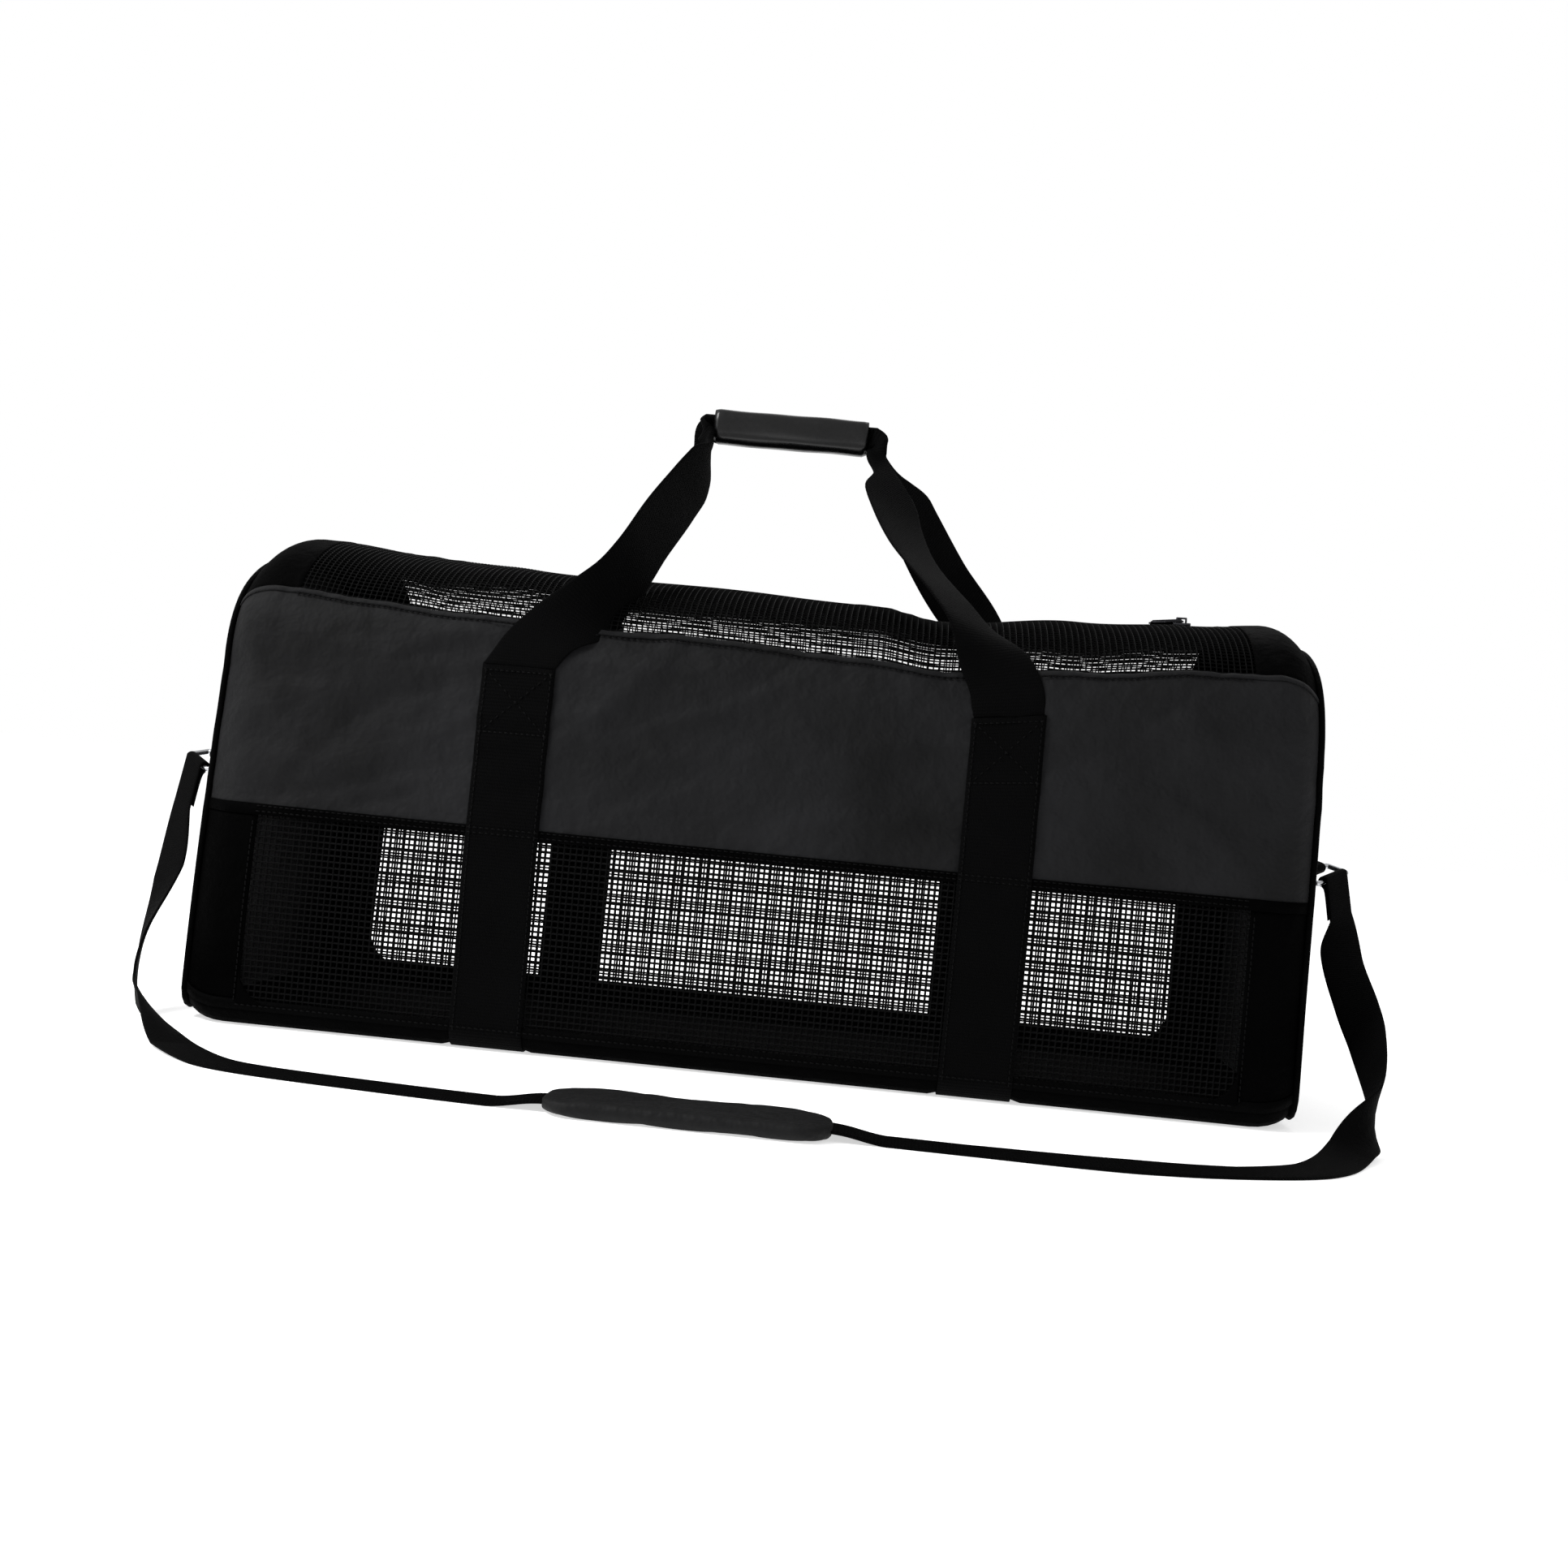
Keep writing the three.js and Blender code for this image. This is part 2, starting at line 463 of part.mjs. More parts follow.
// Woven panels: the base with its narrow turned-up strips, the upper walls, the borders and the end panels
function addFabric() {
  addSheet("base_panel", BASE_US, BASE_LINES, 0, -FABRIC_THICKNESS, FABRIC);
  addSheet("front_upper_panel", PANEL_US, PANEL_LINES, 0, -FABRIC_THICKNESS, FABRIC);
  addSheet("back_upper_panel", PANEL_US, mirrored(PANEL_LINES), 0, -FABRIC_THICKNESS, FABRIC);
  const borderLines = [BORDER_U + HALF_GAP, ...roundLines.slice(1)];
  const topLines = [TOP_BORDER_U + HALF_GAP, ...roundLines];
  const slopeLines = [PANEL_TOP_V + slopeGap, PANEL_TOP_V + 0.5, SLOPE_V, SLOPE_V + 0.5, TAPE_V, RIDGE_V];
  const overRidge = [...slopeLines, ...slopeLines.map((v) => 2 * RIDGE_V - v).reverse().slice(1)];
  for (const [label, side] of [["left", -1], ["right", 1]]) {
    const turned = (lines) => (side > 0 ? lines : mirrored(lines));
    addSheet(`front_border_${label}`, turned(borderLines), WALL_VS, 0, -FABRIC_THICKNESS, FABRIC);
    addSheet(`back_border_${label}`, turned(borderLines), mirrored(WALL_VS), 0, -FABRIC_THICKNESS, FABRIC);
    addSheet(`top_border_${label}`, turned(topLines), overRidge, 0, -FABRIC_THICKNESS, FABRIC);
    const rimLines = [SEAM_U + HALF_GAP, (SEAM_U + EDGE_U) / 2, EDGE_U];
    const faceLines = [0.45, 1].map((share) => EDGE_U + share * HALF_DEPTH);
    const netRound = [0, 1 / 3, 2 / 3, 1].map((share) => NET_LOW_V + share);
    const wallRound = [...netRound, MID_WALL_V, SHOULDER_V];
    const topRound = [KNEE_V, PANEL_TOP_V, PANEL_TOP_V + 0.5, SLOPE_V, SLOPE_V + 0.5, TAPE_V];
    const halfRound = [0, ...lowCorner, ...wallRound, ...topRound];
    const loop = [...mirrored(halfRound).slice(0, -1), ...halfRound, RIDGE_V, 2 * RIDGE_V - TAPE_V];
    const endLines = turned([...rimLines, ...faceLines]);
    addSheet(`end_panel_${label}`, endLines, loop, 0, -FABRIC_THICKNESS, FABRIC, { wrap: true });
    addPiping(`piping_${label}`, side, loop.slice(0, -1));
  }
}

// The round binding over the seam between the body and an end panel.
function addPiping(name, side, loop) {
  const radius = PIPING_DIAMETER / 2;
  const rings = loop.map((v) => {
    const centre = offSkin(side * SEAM_U, v, radius + SEAM_GAP);
    const out = skinNormal(side * SEAM_U, v);
    const round = offSkin(side * SEAM_U, v + NORMAL_STEP, 0).sub(offSkin(side * SEAM_U, v - NORMAL_STEP, 0));
    const across = round.cross(out).normalize();
    return steps(0, 2 * Math.PI, 6).slice(0, -1).map((angle) => centre.clone()
      .addScaledVector(out, radius * Math.cos(angle))
      .addScaledVector(across, radius * Math.sin(angle)));
  });
  addLoft(name, rings, FABRIC, { closed: true });
}

// The net windows of the walls and the two halves of the top, each cut through in rows of square gaps
function addNets() {
  const bay = gapEdges(WEB_OUT, BORDER_U - HALF_GAP - NET_MARGIN, BAY_GAPS, STRAND_WIDTH);
  const middle = gapEdges(-WEB_IN, WEB_IN, MIDDLE_GAPS, STRAND_WIDTH);
  const wallUs = [-(BORDER_U - HALF_GAP), ...mirrored(bay), ...middle, ...bay, BORDER_U - HALF_GAP];
  const odd = (n) => n % 2 === 1;
  const keep = (i, j) => !(odd(i) && odd(j));
  addSheet("front_net", wallUs, WALL_VS, 0, -NET_THICKNESS, NET, { keep });
  addSheet("back_net", wallUs, mirrored(WALL_VS), 0, -NET_THICKNESS, NET, { keep });

  const slopeStrand = STRAND_WIDTH / (outAtRise(SLOPE_RISE) - TAPE_HALF_WIDTH);
  const low = PANEL_TOP_V + slopeGap;
  const high = TAPE_V - tapeGap;
  const topVs = [low, ...gapEdges(low, high, TOP_ROWS, slopeStrand), high];
  addSheet("top_net_front", TOP_US, topVs, 0, -NET_THICKNESS, NET, { keep });
  addSheet("top_net_back", TOP_US, mirrored(topVs), 0, -NET_THICKNESS, NET, { keep });
}

// The zipper along the ridge: a tape each side, the coil between them, and the slider with its pull
function addZipper() {
  const us = TOP_US;
  const tape = [TAPE_V + ridgeGap, COIL_V - ridgeGap];
  addSheet("zipper_tape_front", us, tape, 0, -NET_THICKNESS, WEBBING);
  addSheet("zipper_tape_back", us, mirrored(tape), 0, -NET_THICKNESS, WEBBING);
  addSheet("zipper_coil", us, [COIL_V, RIDGE_V, 2 * RIDGE_V - COIL_V], COIL_RISE, -NET_THICKNESS, COIL);

  const place = TOP_REACH - SLIDER_END_GAP - SLIDER_LENGTH / 2;
  const tops = [-1, 0, 1].map((end) => offSkin(place + (end * SLIDER_LENGTH) / 2, RIDGE_V, COIL_RISE).z);
  const seat = Math.max(...tops) + SEAM_GAP;
  const deck = seat + SLIDER_HEIGHT;
  const body = new THREE.BoxGeometry(SLIDER_LENGTH, SLIDER_WIDTH, SLIDER_HEIGHT);
  body.translate(place, 0, seat + SLIDER_HEIGHT / 2);
  const arch = new THREE.BoxGeometry(BRIDGE_LENGTH, BRIDGE_WIDTH, 2 * BRIDGE_HEIGHT);
  arch.translate(place, 0, deck);
  const openHeight = BRIDGE_HEIGHT - BRIDGE_WALL;
  const opening = new THREE.BoxGeometry(BRIDGE_LENGTH - 2 * BRIDGE_WALL, SLIDER_WIDTH, openHeight);
  opening.translate(place, 0, deck + openHeight / 2);
  const slider = toSolid(body).add(toSolid(arch).subtract(toSolid(opening)).trimByPlane([0, 0, 1], seat));
  addCut("zipper_slider", slider, STEEL);

  const slotWidth = BRIDGE_WIDTH + 2 * PULL_CLEARANCE;
  const barEnd = place + PULL_BAR / 2;
  const plate = new THREE.BoxGeometry(PULL_LENGTH, PULL_WIDTH, PULL_THICKNESS);
  plate.translate(barEnd - PULL_LENGTH / 2, 0, 0);
  const slot = new THREE.BoxGeometry(PULL_SLOT, slotWidth, 2 * PULL_THICKNESS);
  slot.translate(barEnd - PULL_BAR - PULL_SLOT / 2, 0, 0);
  const eye = new THREE.CylinderGeometry(PULL_ROUND, PULL_ROUND, 2 * PULL_THICKNESS, 10);
  eye.rotateX(Math.PI / 2);
  eye.translate(barEnd - PULL_LENGTH + 2 * PULL_ROUND, 0, 0);
  const pull = toSolid(plate).subtract(toSolid(slot)).subtract(toSolid(eye));
  addCut("zipper_pull", pull, STEEL).position.z = deck + PULL_CLEARANCE + PULL_THICKNESS / 2;
}

// Turns a closed three.js geometry into a solid that can be joined and cut.
function toSolid(geometry) {
  const bare = geometry.clone();
  bare.deleteAttribute("normal");
  bare.deleteAttribute("uv");
  const welded = mergeVertices(bare, 1e-4);
  const vertProperties = new Float32Array(welded.attributes.position.array);
  const triVerts = new Uint32Array(welded.index.array);
  return new wasm.Manifold(new wasm.Mesh({ numProp: 3, vertProperties, triVerts }));
}

// Adds a joined or cut solid as a named mesh.
function addCut(name, solid, material) {
  const { numProp, vertProperties, triVerts } = solid.getMesh();
  const points = [];
  for (let i = 0; i < vertProperties.length; i += numProp) {
    points.push(new THREE.Vector3(vertProperties[i], vertProperties[i + 1], vertProperties[i + 2]));
  }
  const triangles = [];
  for (let i = 0; i < triVerts.length; i += 3) {
    triangles.push([triVerts[i], triVerts[i + 1], triVerts[i + 2]]);
  }
  return addSolid(name, points, triangles, material);
}

// The webbing that is sewn up both walls and runs under the base, one piece at each side
function addSewnWebbing() {
  const half = [...lowCorner, ...WALL_VS, MID_WALL_V, SHOULDER_V, CREASE_V - creaseGap];
  const vs = [...mirrored(half), ...half];
  addSheet("sewn_webbing_left", [-WEB_OUT, -WEBBING_PLACE, -WEB_IN], vs, WEB_OFFSET, SEAM_GAP, WEBBING);
  addSheet("sewn_webbing_right", [WEB_IN, WEBBING_PLACE, WEB_OUT], vs, WEB_OFFSET, SEAM_GAP, WEBBING);
}

// The stations of one handle leg, from the crease of the front (-1) or back (1) wall to the grip.
function legStations(side, way) {
  const v = -way * (CREASE_V + creaseGap);
  const stand = SEAM_GAP + WEBBING_THICKNESS / 2;
  const foot = offSkin(side * WEBBING_PLACE, v, stand);
  const hem = offSkin(side * WEB_IN, v, stand).sub(offSkin(side * WEB_OUT, v, stand)).normalize();
  const below = offSkin(side * WEBBING_PLACE, v + way * NORMAL_STEP, stand);
  const rise = foot.clone().sub(below);
  rise.addScaledVector(hem, -rise.dot(hem)).normalize().multiplyScalar(-side);
  const headX = GRIP_SHIFT + side * (GRIP_LENGTH / 2 + FOLD_PLACE);
  const head = new THREE.Vector3(headX, way * FOLD_PLACE, GRIP_HEIGHT);
  const bow = way < 0 ? 0 : side < 0 ? REAR_BOW_LEFT : REAR_BOW_RIGHT;
  const curve = new THREE.CatmullRomCurve3(LEG.map(({ left, right, back, up }) => {
    const bowed = side * bow * Math.sin(Math.PI * up ** 0.8) ** 1.3;
    return new THREE.Vector3(
      THREE.MathUtils.lerp(foot.x, head.x, side < 0 ? left : right) + bowed,
      THREE.MathUtils.lerp(foot.y, head.y, back),
      THREE.MathUtils.lerp(foot.z, head.z, up),
    );
  }));
  const last = LEG.length - 1;
  return steps(0, last, LEG_PARTS * last).map((place) => {
    const row = Math.min(last - 1, Math.floor(place));
    const mix = (column) => THREE.MathUtils.lerp(LEG[row][column], LEG[row + 1][column], place - row);
    const turn = mix("turn");
    const across = new THREE.Vector3(-side * (1 - turn), 0, hem.z * (1 - mix("up")) ** 4 - turn).normalize();
    return {
      point: curve.getPoint(place / last),
      across: place === 0 ? hem : across,
      along: place === 0 ? rise : place === last ? new THREE.Vector3(1, 0, 0) : undefined,
      width: THREE.MathUtils.lerp(WEBBING_WIDTH, FOLD_WIDTH, mix("fold")),
      thickness: THREE.MathUtils.lerp(WEBBING_THICKNESS, FOLD_THICKNESS, mix("fold")),
    };
  });
}

// The two free handles and the wrap that holds them together
function addHandles() {
  for (const [name, way] of [["handle_front", -1], ["handle_back", 1]]) {
    addStrap(name, [...legStations(-1, way), ...legStations(1, way).reverse()], WEBBING);
  }
  const round = (value) => Math.sign(value) * Math.abs(value) ** (2 / 3);
  const ring = (halfDepth, halfRise, x) => steps(0, 2 * Math.PI, 14).slice(0, -1).map((angle) => {
    const rise = halfRise * round(Math.sin(angle));
    return new THREE.Vector3(x, halfDepth * round(Math.cos(angle)), GRIP_HEIGHT + rise);
  });
  const xs = [-1, 1].map((end) => GRIP_SHIFT + (end * GRIP_LENGTH) / 2);
  const outer = xs.map((x) => ring(GRIP_HALF_DEPTH + GRIP_WALL, GRIP_HALF_RISE + GRIP_WALL, x));
  const inner = xs.map((x) => ring(GRIP_HALF_DEPTH, GRIP_HALF_RISE, x));
  addSleeve("grip_wrap", outer, inner, GRIP);
}

// A ring's place: its outer bar's middle, its bars' direction, its depth's, and the one square to both.
function ringFrame({ side, reach, forward, drop }) {
  const turn = THREE.MathUtils.degToRad(RING_TURN);
  const tilt = THREE.MathUtils.degToRad(RING_TILT);
  const outerBar = new THREE.Vector3(side * (HALF_LENGTH + reach), -forward, RING_HEIGHT - drop);
  const bar = new THREE.Vector3(side * Math.sin(turn), Math.cos(turn), Math.tan(tilt)).normalize();
  const depth = new THREE.Vector3(side * Math.cos(turn), -Math.sin(turn), -Math.tan(tilt));
  depth.addScaledVector(bar, -depth.dot(bar)).normalize();
  const flat = bar.clone().cross(depth).multiplyScalar(side).normalize();
  const innerBar = outerBar.clone().addScaledVector(depth, -RING_DEPTH);
  return { side, outerBar, innerBar, bar, depth, flat };
}

// The rectangular wire ring at one end of the bag.
function addRing(name, { outerBar, innerBar, bar, depth, flat }) {
  const centre = outerBar.clone().lerp(innerBar, 0.5);
  const halfBar = (RING_WIDTH + RING_WIRE) / 2 - RING_CORNER;
  const halfDepth = RING_DEPTH / 2 - RING_CORNER;
  const corners = [[1, 1, 0], [-1, 1, 1], [-1, -1, 2], [1, -1, 3]];
  const rings = corners.flatMap(([alongBar, alongDepth, quarter]) => steps(0, Math.PI / 2, 3).map((part) => {
    const angle = part + (quarter * Math.PI) / 2;
    const out = bar.clone().multiplyScalar(Math.cos(angle)).addScaledVector(depth, Math.sin(angle));
    const middle = centre.clone()
      .addScaledVector(bar, alongBar * halfBar)
      .addScaledVector(depth, alongDepth * halfDepth)
      .addScaledVector(out, RING_CORNER);
    return steps(0, 2 * Math.PI, 8).slice(0, -1).map((around) => middle.clone()
      .addScaledVector(out, (RING_WIRE / 2) * Math.cos(around))
      .addScaledVector(flat, (RING_WIRE / 2) * Math.sin(around)));
  }));
  addLoft(name, rings, STEEL, { closed: true });
}

// Points of a half turn round a bar, from one side of it to the other by way of the given direction.
function halfTurn(centre, radius, start, middle, parts) {
  return steps(0, Math.PI, parts).map((angle) => centre.clone()
    .addScaledVector(start, radius * Math.cos(angle))
    .addScaledVector(middle, radius * Math.sin(angle)));
}

// The short webbing loop that ties a ring's inner bar to the end panel.
function addTab(name, { side, innerBar, bar, depth, flat }) {
  const radius = RING_WIRE / 2 + SEAM_GAP + TAB_THICKNESS / 2;
  const faceX = side * (HALF_LENGTH + SEAM_GAP);
  const out = new THREE.Vector3(side, 0, 0);
  const stand = TAB_THICKNESS / 2 + SEAM_GAP;
  const size = { width: TAB_WIDTH, thickness: TAB_THICKNESS };
  const station = (point, across, along) => ({ point, across, along, ...size });
  const turned = (stations) => stations.map((place) => ({ ...place, back: true }));
  const leg = (up) => {
    const root = new THREE.Vector3(faceX, innerBar.y * 0.4, innerBar.z + up * stand);
    const rootAcross = new THREE.Vector3(0, 1, 0);
    const neck = innerBar.clone().addScaledVector(depth, -1.5 * RING_WIRE).addScaledVector(flat, up * radius);
    const middle = root.clone().lerp(neck, 0.5).addScaledVector(flat, 0.4 * up * radius);
    return [
      station(root, rootAcross, out.clone().multiplyScalar(up)),
      station(middle, rootAcross.clone().lerp(bar, 0.5).normalize()),
      station(neck, bar),
    ];
  };
  const turn = halfTurn(innerBar, radius, flat, depth, 6).map((point) => station(point, bar));
  addStrap(name, [...leg(1), ...turn, ...turned(leg(-1).reverse())], WEBBING, true);
}

// The stations of one half of the shoulder strap: from the middle of the pad along its run, up to the ring,
// round the ring's outer bar and back down as a sewn tail.
function strapStations(rows, frame) {
  const { side, outerBar, bar } = frame;
  const padHeight = PAD_THICKNESS / 2;
  const padEnd = PAD_PLACE + side * (PAD_LENGTH / 2 + STRAP_THICKNESS);
  const flatWidth = new THREE.Vector3(0, 1, 0);
  const padXs = [PAD_PLACE + side * HALF_GAP, PAD_PLACE + (side * PAD_LENGTH) / 4, padEnd];
  const places = padXs.map((x) => {
    return { point: new THREE.Vector3(x, -PAD_FORWARD, padHeight), across: flatWidth };
  });
  for (const { along, out, up, wx, wy, wz } of rows) {
    const across = new THREE.Vector3(wx, wy, wz).normalize();
    const lift = (Math.abs(across.z) * STRAP_WIDTH) / 2 + STRAP_THICKNESS / 2;
    places.push({
      point: new THREE.Vector3(along * HALF_LENGTH, out * HALF_DEPTH, up * RING_HEIGHT + lift),
      across,
    });
  }
  const radius = RING_WIRE / 2 + 2 * SEAM_GAP + STRAP_THICKNESS / 2;
  const rise = outerBar.clone().sub(places[places.length - 1].point).normalize();
  const over = rise.clone().addScaledVector(bar, -rise.dot(bar)).normalize();
  const beside = over.clone().cross(bar).multiplyScalar(-side).normalize();
  const top = outerBar.clone().addScaledVector(beside, radius);
  const strap = (station) => ({ ...station, width: STRAP_WIDTH, thickness: STRAP_THICKNESS });
  places.push({ point: top.clone().addScaledVector(rise, -RING_APPROACH), across: bar });

  const curve = new THREE.CatmullRomCurve3(places.map(({ point }) => point), false, "centripetal");
  const last = places.length - 1;
  const widths = places.map(({ across }, i) => {
    const along = curve.getTangent(i / last);
    return i === last ? across : across.clone().addScaledVector(along, -across.dot(along)).normalize();
  });
  const main = steps(0, last, 3 * last).map((place) => {
    const row = Math.min(last - 1, Math.floor(place));
    const across = widths[row].clone().lerp(widths[row + 1], place - row).normalize();
    const point = curve.getPoint(place / last);
    point.z = Math.max(point.z, (Math.abs(across.z) * STRAP_WIDTH) / 2 + STRAP_THICKNESS / 2);
    return strap({ point, across, along: place === last ? rise : curve.getTangent(place / last) });
  });
  main.push(strap({ point: top, across: bar, along: rise }));
  const turnPoints = halfTurn(outerBar, radius, beside, over, 6).slice(1, -1);
  const turn = turnPoints.map((point) => strap({ point, across: bar }));
  const down = rise.clone().negate();
  const tail = [0, 0.3, 1].map((share) => {
    const apart = share === 0 ? 2 * radius : STRAP_THICKNESS + 2 * SEAM_GAP;
    const point = top.clone().addScaledVector(rise, -share * TAIL_LENGTH).addScaledVector(beside, -apart);
    return strap({ point, across: bar, along: down });
  });
  return [...main, ...turn, ...tail];
}

// The soft shoulder pad, a sleeve with a slot that the strap runs through.
function addPad() {
  const top = [-1, -0.5, 0, 0.5, 1];
  const layout = [...top.map((share) => [share, 1]), [1, 0], ...top.map((share) => [-share, -1]), [-1, 0]];
  const slotHalf = STRAP_WIDTH / 2 + 2 * SEAM_GAP;
  const slotRise = STRAP_THICKNESS / 2 + 3 * SEAM_GAP;
  const outer = [];
  const inner = [];
  for (const share of [-1, -0.93, -0.75, -0.4, 0, 0.4, 0.75, 0.93, 1]) {
    const x = PAD_PLACE + (share * PAD_LENGTH) / 2;
    const swell = THREE.MathUtils.lerp(PAD_END_SHARE, 1, (1 - share ** 6) ** 0.5);
    outer.push(layout.map(([across, up]) => {
      const crown = up * (PAD_THICKNESS / 2) * swell * (1 - 0.35 * across ** 4);
      const spread = across * (PAD_WIDTH / 2) * swell * (up === 0 ? 1 : 0.94);
      return new THREE.Vector3(x, spread - PAD_FORWARD, PAD_THICKNESS / 2 + crown);
    }));
    inner.push(layout.map(([across, up]) =>
      new THREE.Vector3(x, across * slotHalf - PAD_FORWARD, PAD_THICKNESS / 2 + up * slotRise)));
  }
  addSleeve("shoulder_pad", outer, inner, PAD);
}

// The ring, tab and strap half at each end, and the pad between them
function addShoulderStrap() {
  for (const [label, place, rows] of [["left", RING_LEFT, LEFT_RUN], ["right", RING_RIGHT, RIGHT_RUN]]) {
    const frame = ringFrame(place);
    addRing(`ring_${label}`, frame);
    addTab(`ring_tab_${label}`, frame);
    addStrap(`shoulder_strap_${label}`, strapStations(rows, frame), WEBBING, true);
  }
  addPad();
}

addFabric();
addNets();
addZipper();
addSewnWebbing();
addHandles();
addShoulderStrap();

export default bag;
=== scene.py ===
"""The visual model of a long mesh duffel bag for dive gear, dressed round its CAD frame.

Sizes are in millimetres, as in the part's source, and become metres when a mesh is made. +X runs along
the bag, +Y to its back and +Z up. u runs along the bag's skin and in over its rounded ends, and v runs
round its section, from the middle of the base (0) up the front (to 8) or up the back (to -8).
"""

import logging
import math
from collections.abc import Sequence
from dataclasses import dataclass, field
from enum import Enum
from functools import cache

import bmesh
import bpy
import numpy as np
from mathutils import Matrix, Vector

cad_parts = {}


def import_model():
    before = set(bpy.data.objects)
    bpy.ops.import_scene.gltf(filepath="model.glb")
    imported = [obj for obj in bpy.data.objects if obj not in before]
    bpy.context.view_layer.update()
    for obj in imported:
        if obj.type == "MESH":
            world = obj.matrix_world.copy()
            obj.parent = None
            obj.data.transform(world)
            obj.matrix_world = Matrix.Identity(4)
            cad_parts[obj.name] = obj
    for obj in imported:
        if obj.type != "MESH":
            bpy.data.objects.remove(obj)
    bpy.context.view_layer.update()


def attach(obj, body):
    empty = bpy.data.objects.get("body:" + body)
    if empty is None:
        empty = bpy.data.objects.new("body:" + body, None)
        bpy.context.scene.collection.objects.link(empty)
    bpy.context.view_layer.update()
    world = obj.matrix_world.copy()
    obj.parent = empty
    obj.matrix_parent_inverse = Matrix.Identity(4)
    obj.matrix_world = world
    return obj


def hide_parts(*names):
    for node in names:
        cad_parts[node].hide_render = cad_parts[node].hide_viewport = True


LOG = logging.getLogger("duffel")
Array = np.ndarray
# A millimetre in metres, the step of v that directions are read over, and the gap that a webbing loop keeps
# from the wire inside it. The last two are v at the ridge and at the foot of a wall.
METRE = 0.001
STEP = 0.01
SEAM_GAP = 0.3
RIDGE = 8.0
WALL_FOOT = 2.0


class End(Enum):
    """The two ends of the bag, with the sign of their X."""

    LEFT = -1
    RIGHT = 1

    @property
    def label(self) -> str:
        """The end's name in lower case."""
        return self.name.lower()


class Wall(Enum):
    """The two walls of the bag, with the sign of v on them."""

    FRONT = 1
    BACK = -1

    @property
    def label(self) -> str:
        """The wall's name in lower case."""
        return self.name.lower()


def unit(vectors: Array) -> Array:
    """Vectors brought to length 1.

    Args:
        vectors: Vectors along the last axis.

    Returns:
        The same directions with length 1.
    """
    length = np.linalg.norm(vectors, axis=-1, keepdims=True)
    return vectors / np.maximum(length, 1e-9)


def on_side(sign: int, first: float, second: float) -> tuple[float, float]:
    """Two values carried to one side of zero, in rising order."""
    low, high = sorted((sign * first, sign * second))
    return low, high


def smooth(low: float, high: float, value: Array) -> Array:
    """A soft step from 0 at low to 1 at high.

    Args:
        low: Where the step starts.
        high: Where it ends.
        value: The values to read it at.

    Returns:
        Shares from 0 to 1.
    """
    share = np.clip((value - low) / (high - low), 0.0, 1.0)
    return share * share * (3.0 - 2.0 * share)


def run_length(points: Array) -> Array:
    """The distance walked along a row of points.

    Args:
        points: Points in order.

    Returns:
        The distance from the first point to each.
    """
    steps = np.linalg.norm(np.diff(points, axis=0), axis=1)
    return np.concatenate([[0.0], np.cumsum(steps)])


def curve_through(points: Array, places: Array) -> Array:
    """Points of a centripetal Catmull-Rom curve.

    Args:
        points: The points that the curve passes, in order.
        places: Where to read it: 0 is the first point, 1 the second and so on.

    Returns:
        One point for each place.
    """
    before = 2 * points[0] - points[1]
    after = 2 * points[-1] - points[-2]
    padded = np.vstack([before, points, after])
    found = []
    for place in places:
        row = int(min(len(points) - 2, math.floor(place)))
        share = place - row
        p0, p1, p2, p3 = padded[row : row + 4]
        d0, d1, d2 = (max(1e-4, math.dist(a, b) ** 0.5) for a, b in ((p0, p1), (p1, p2), (p2, p3)))
        t1 = ((p1 - p0) / d0 - (p2 - p0) / (d0 + d1) + (p2 - p1) / d1) * d1
        t2 = ((p2 - p1) / d1 - (p3 - p1) / (d1 + d2) + (p3 - p2) / d2) * d1
        cubic = 2 * p1 - 2 * p2 + t1 + t2
        square = -3 * p1 + 3 * p2 - 2 * t1 - t2
        found.append(((cubic * share + square) * share + t1) * share + p1)
    return np.array(found)


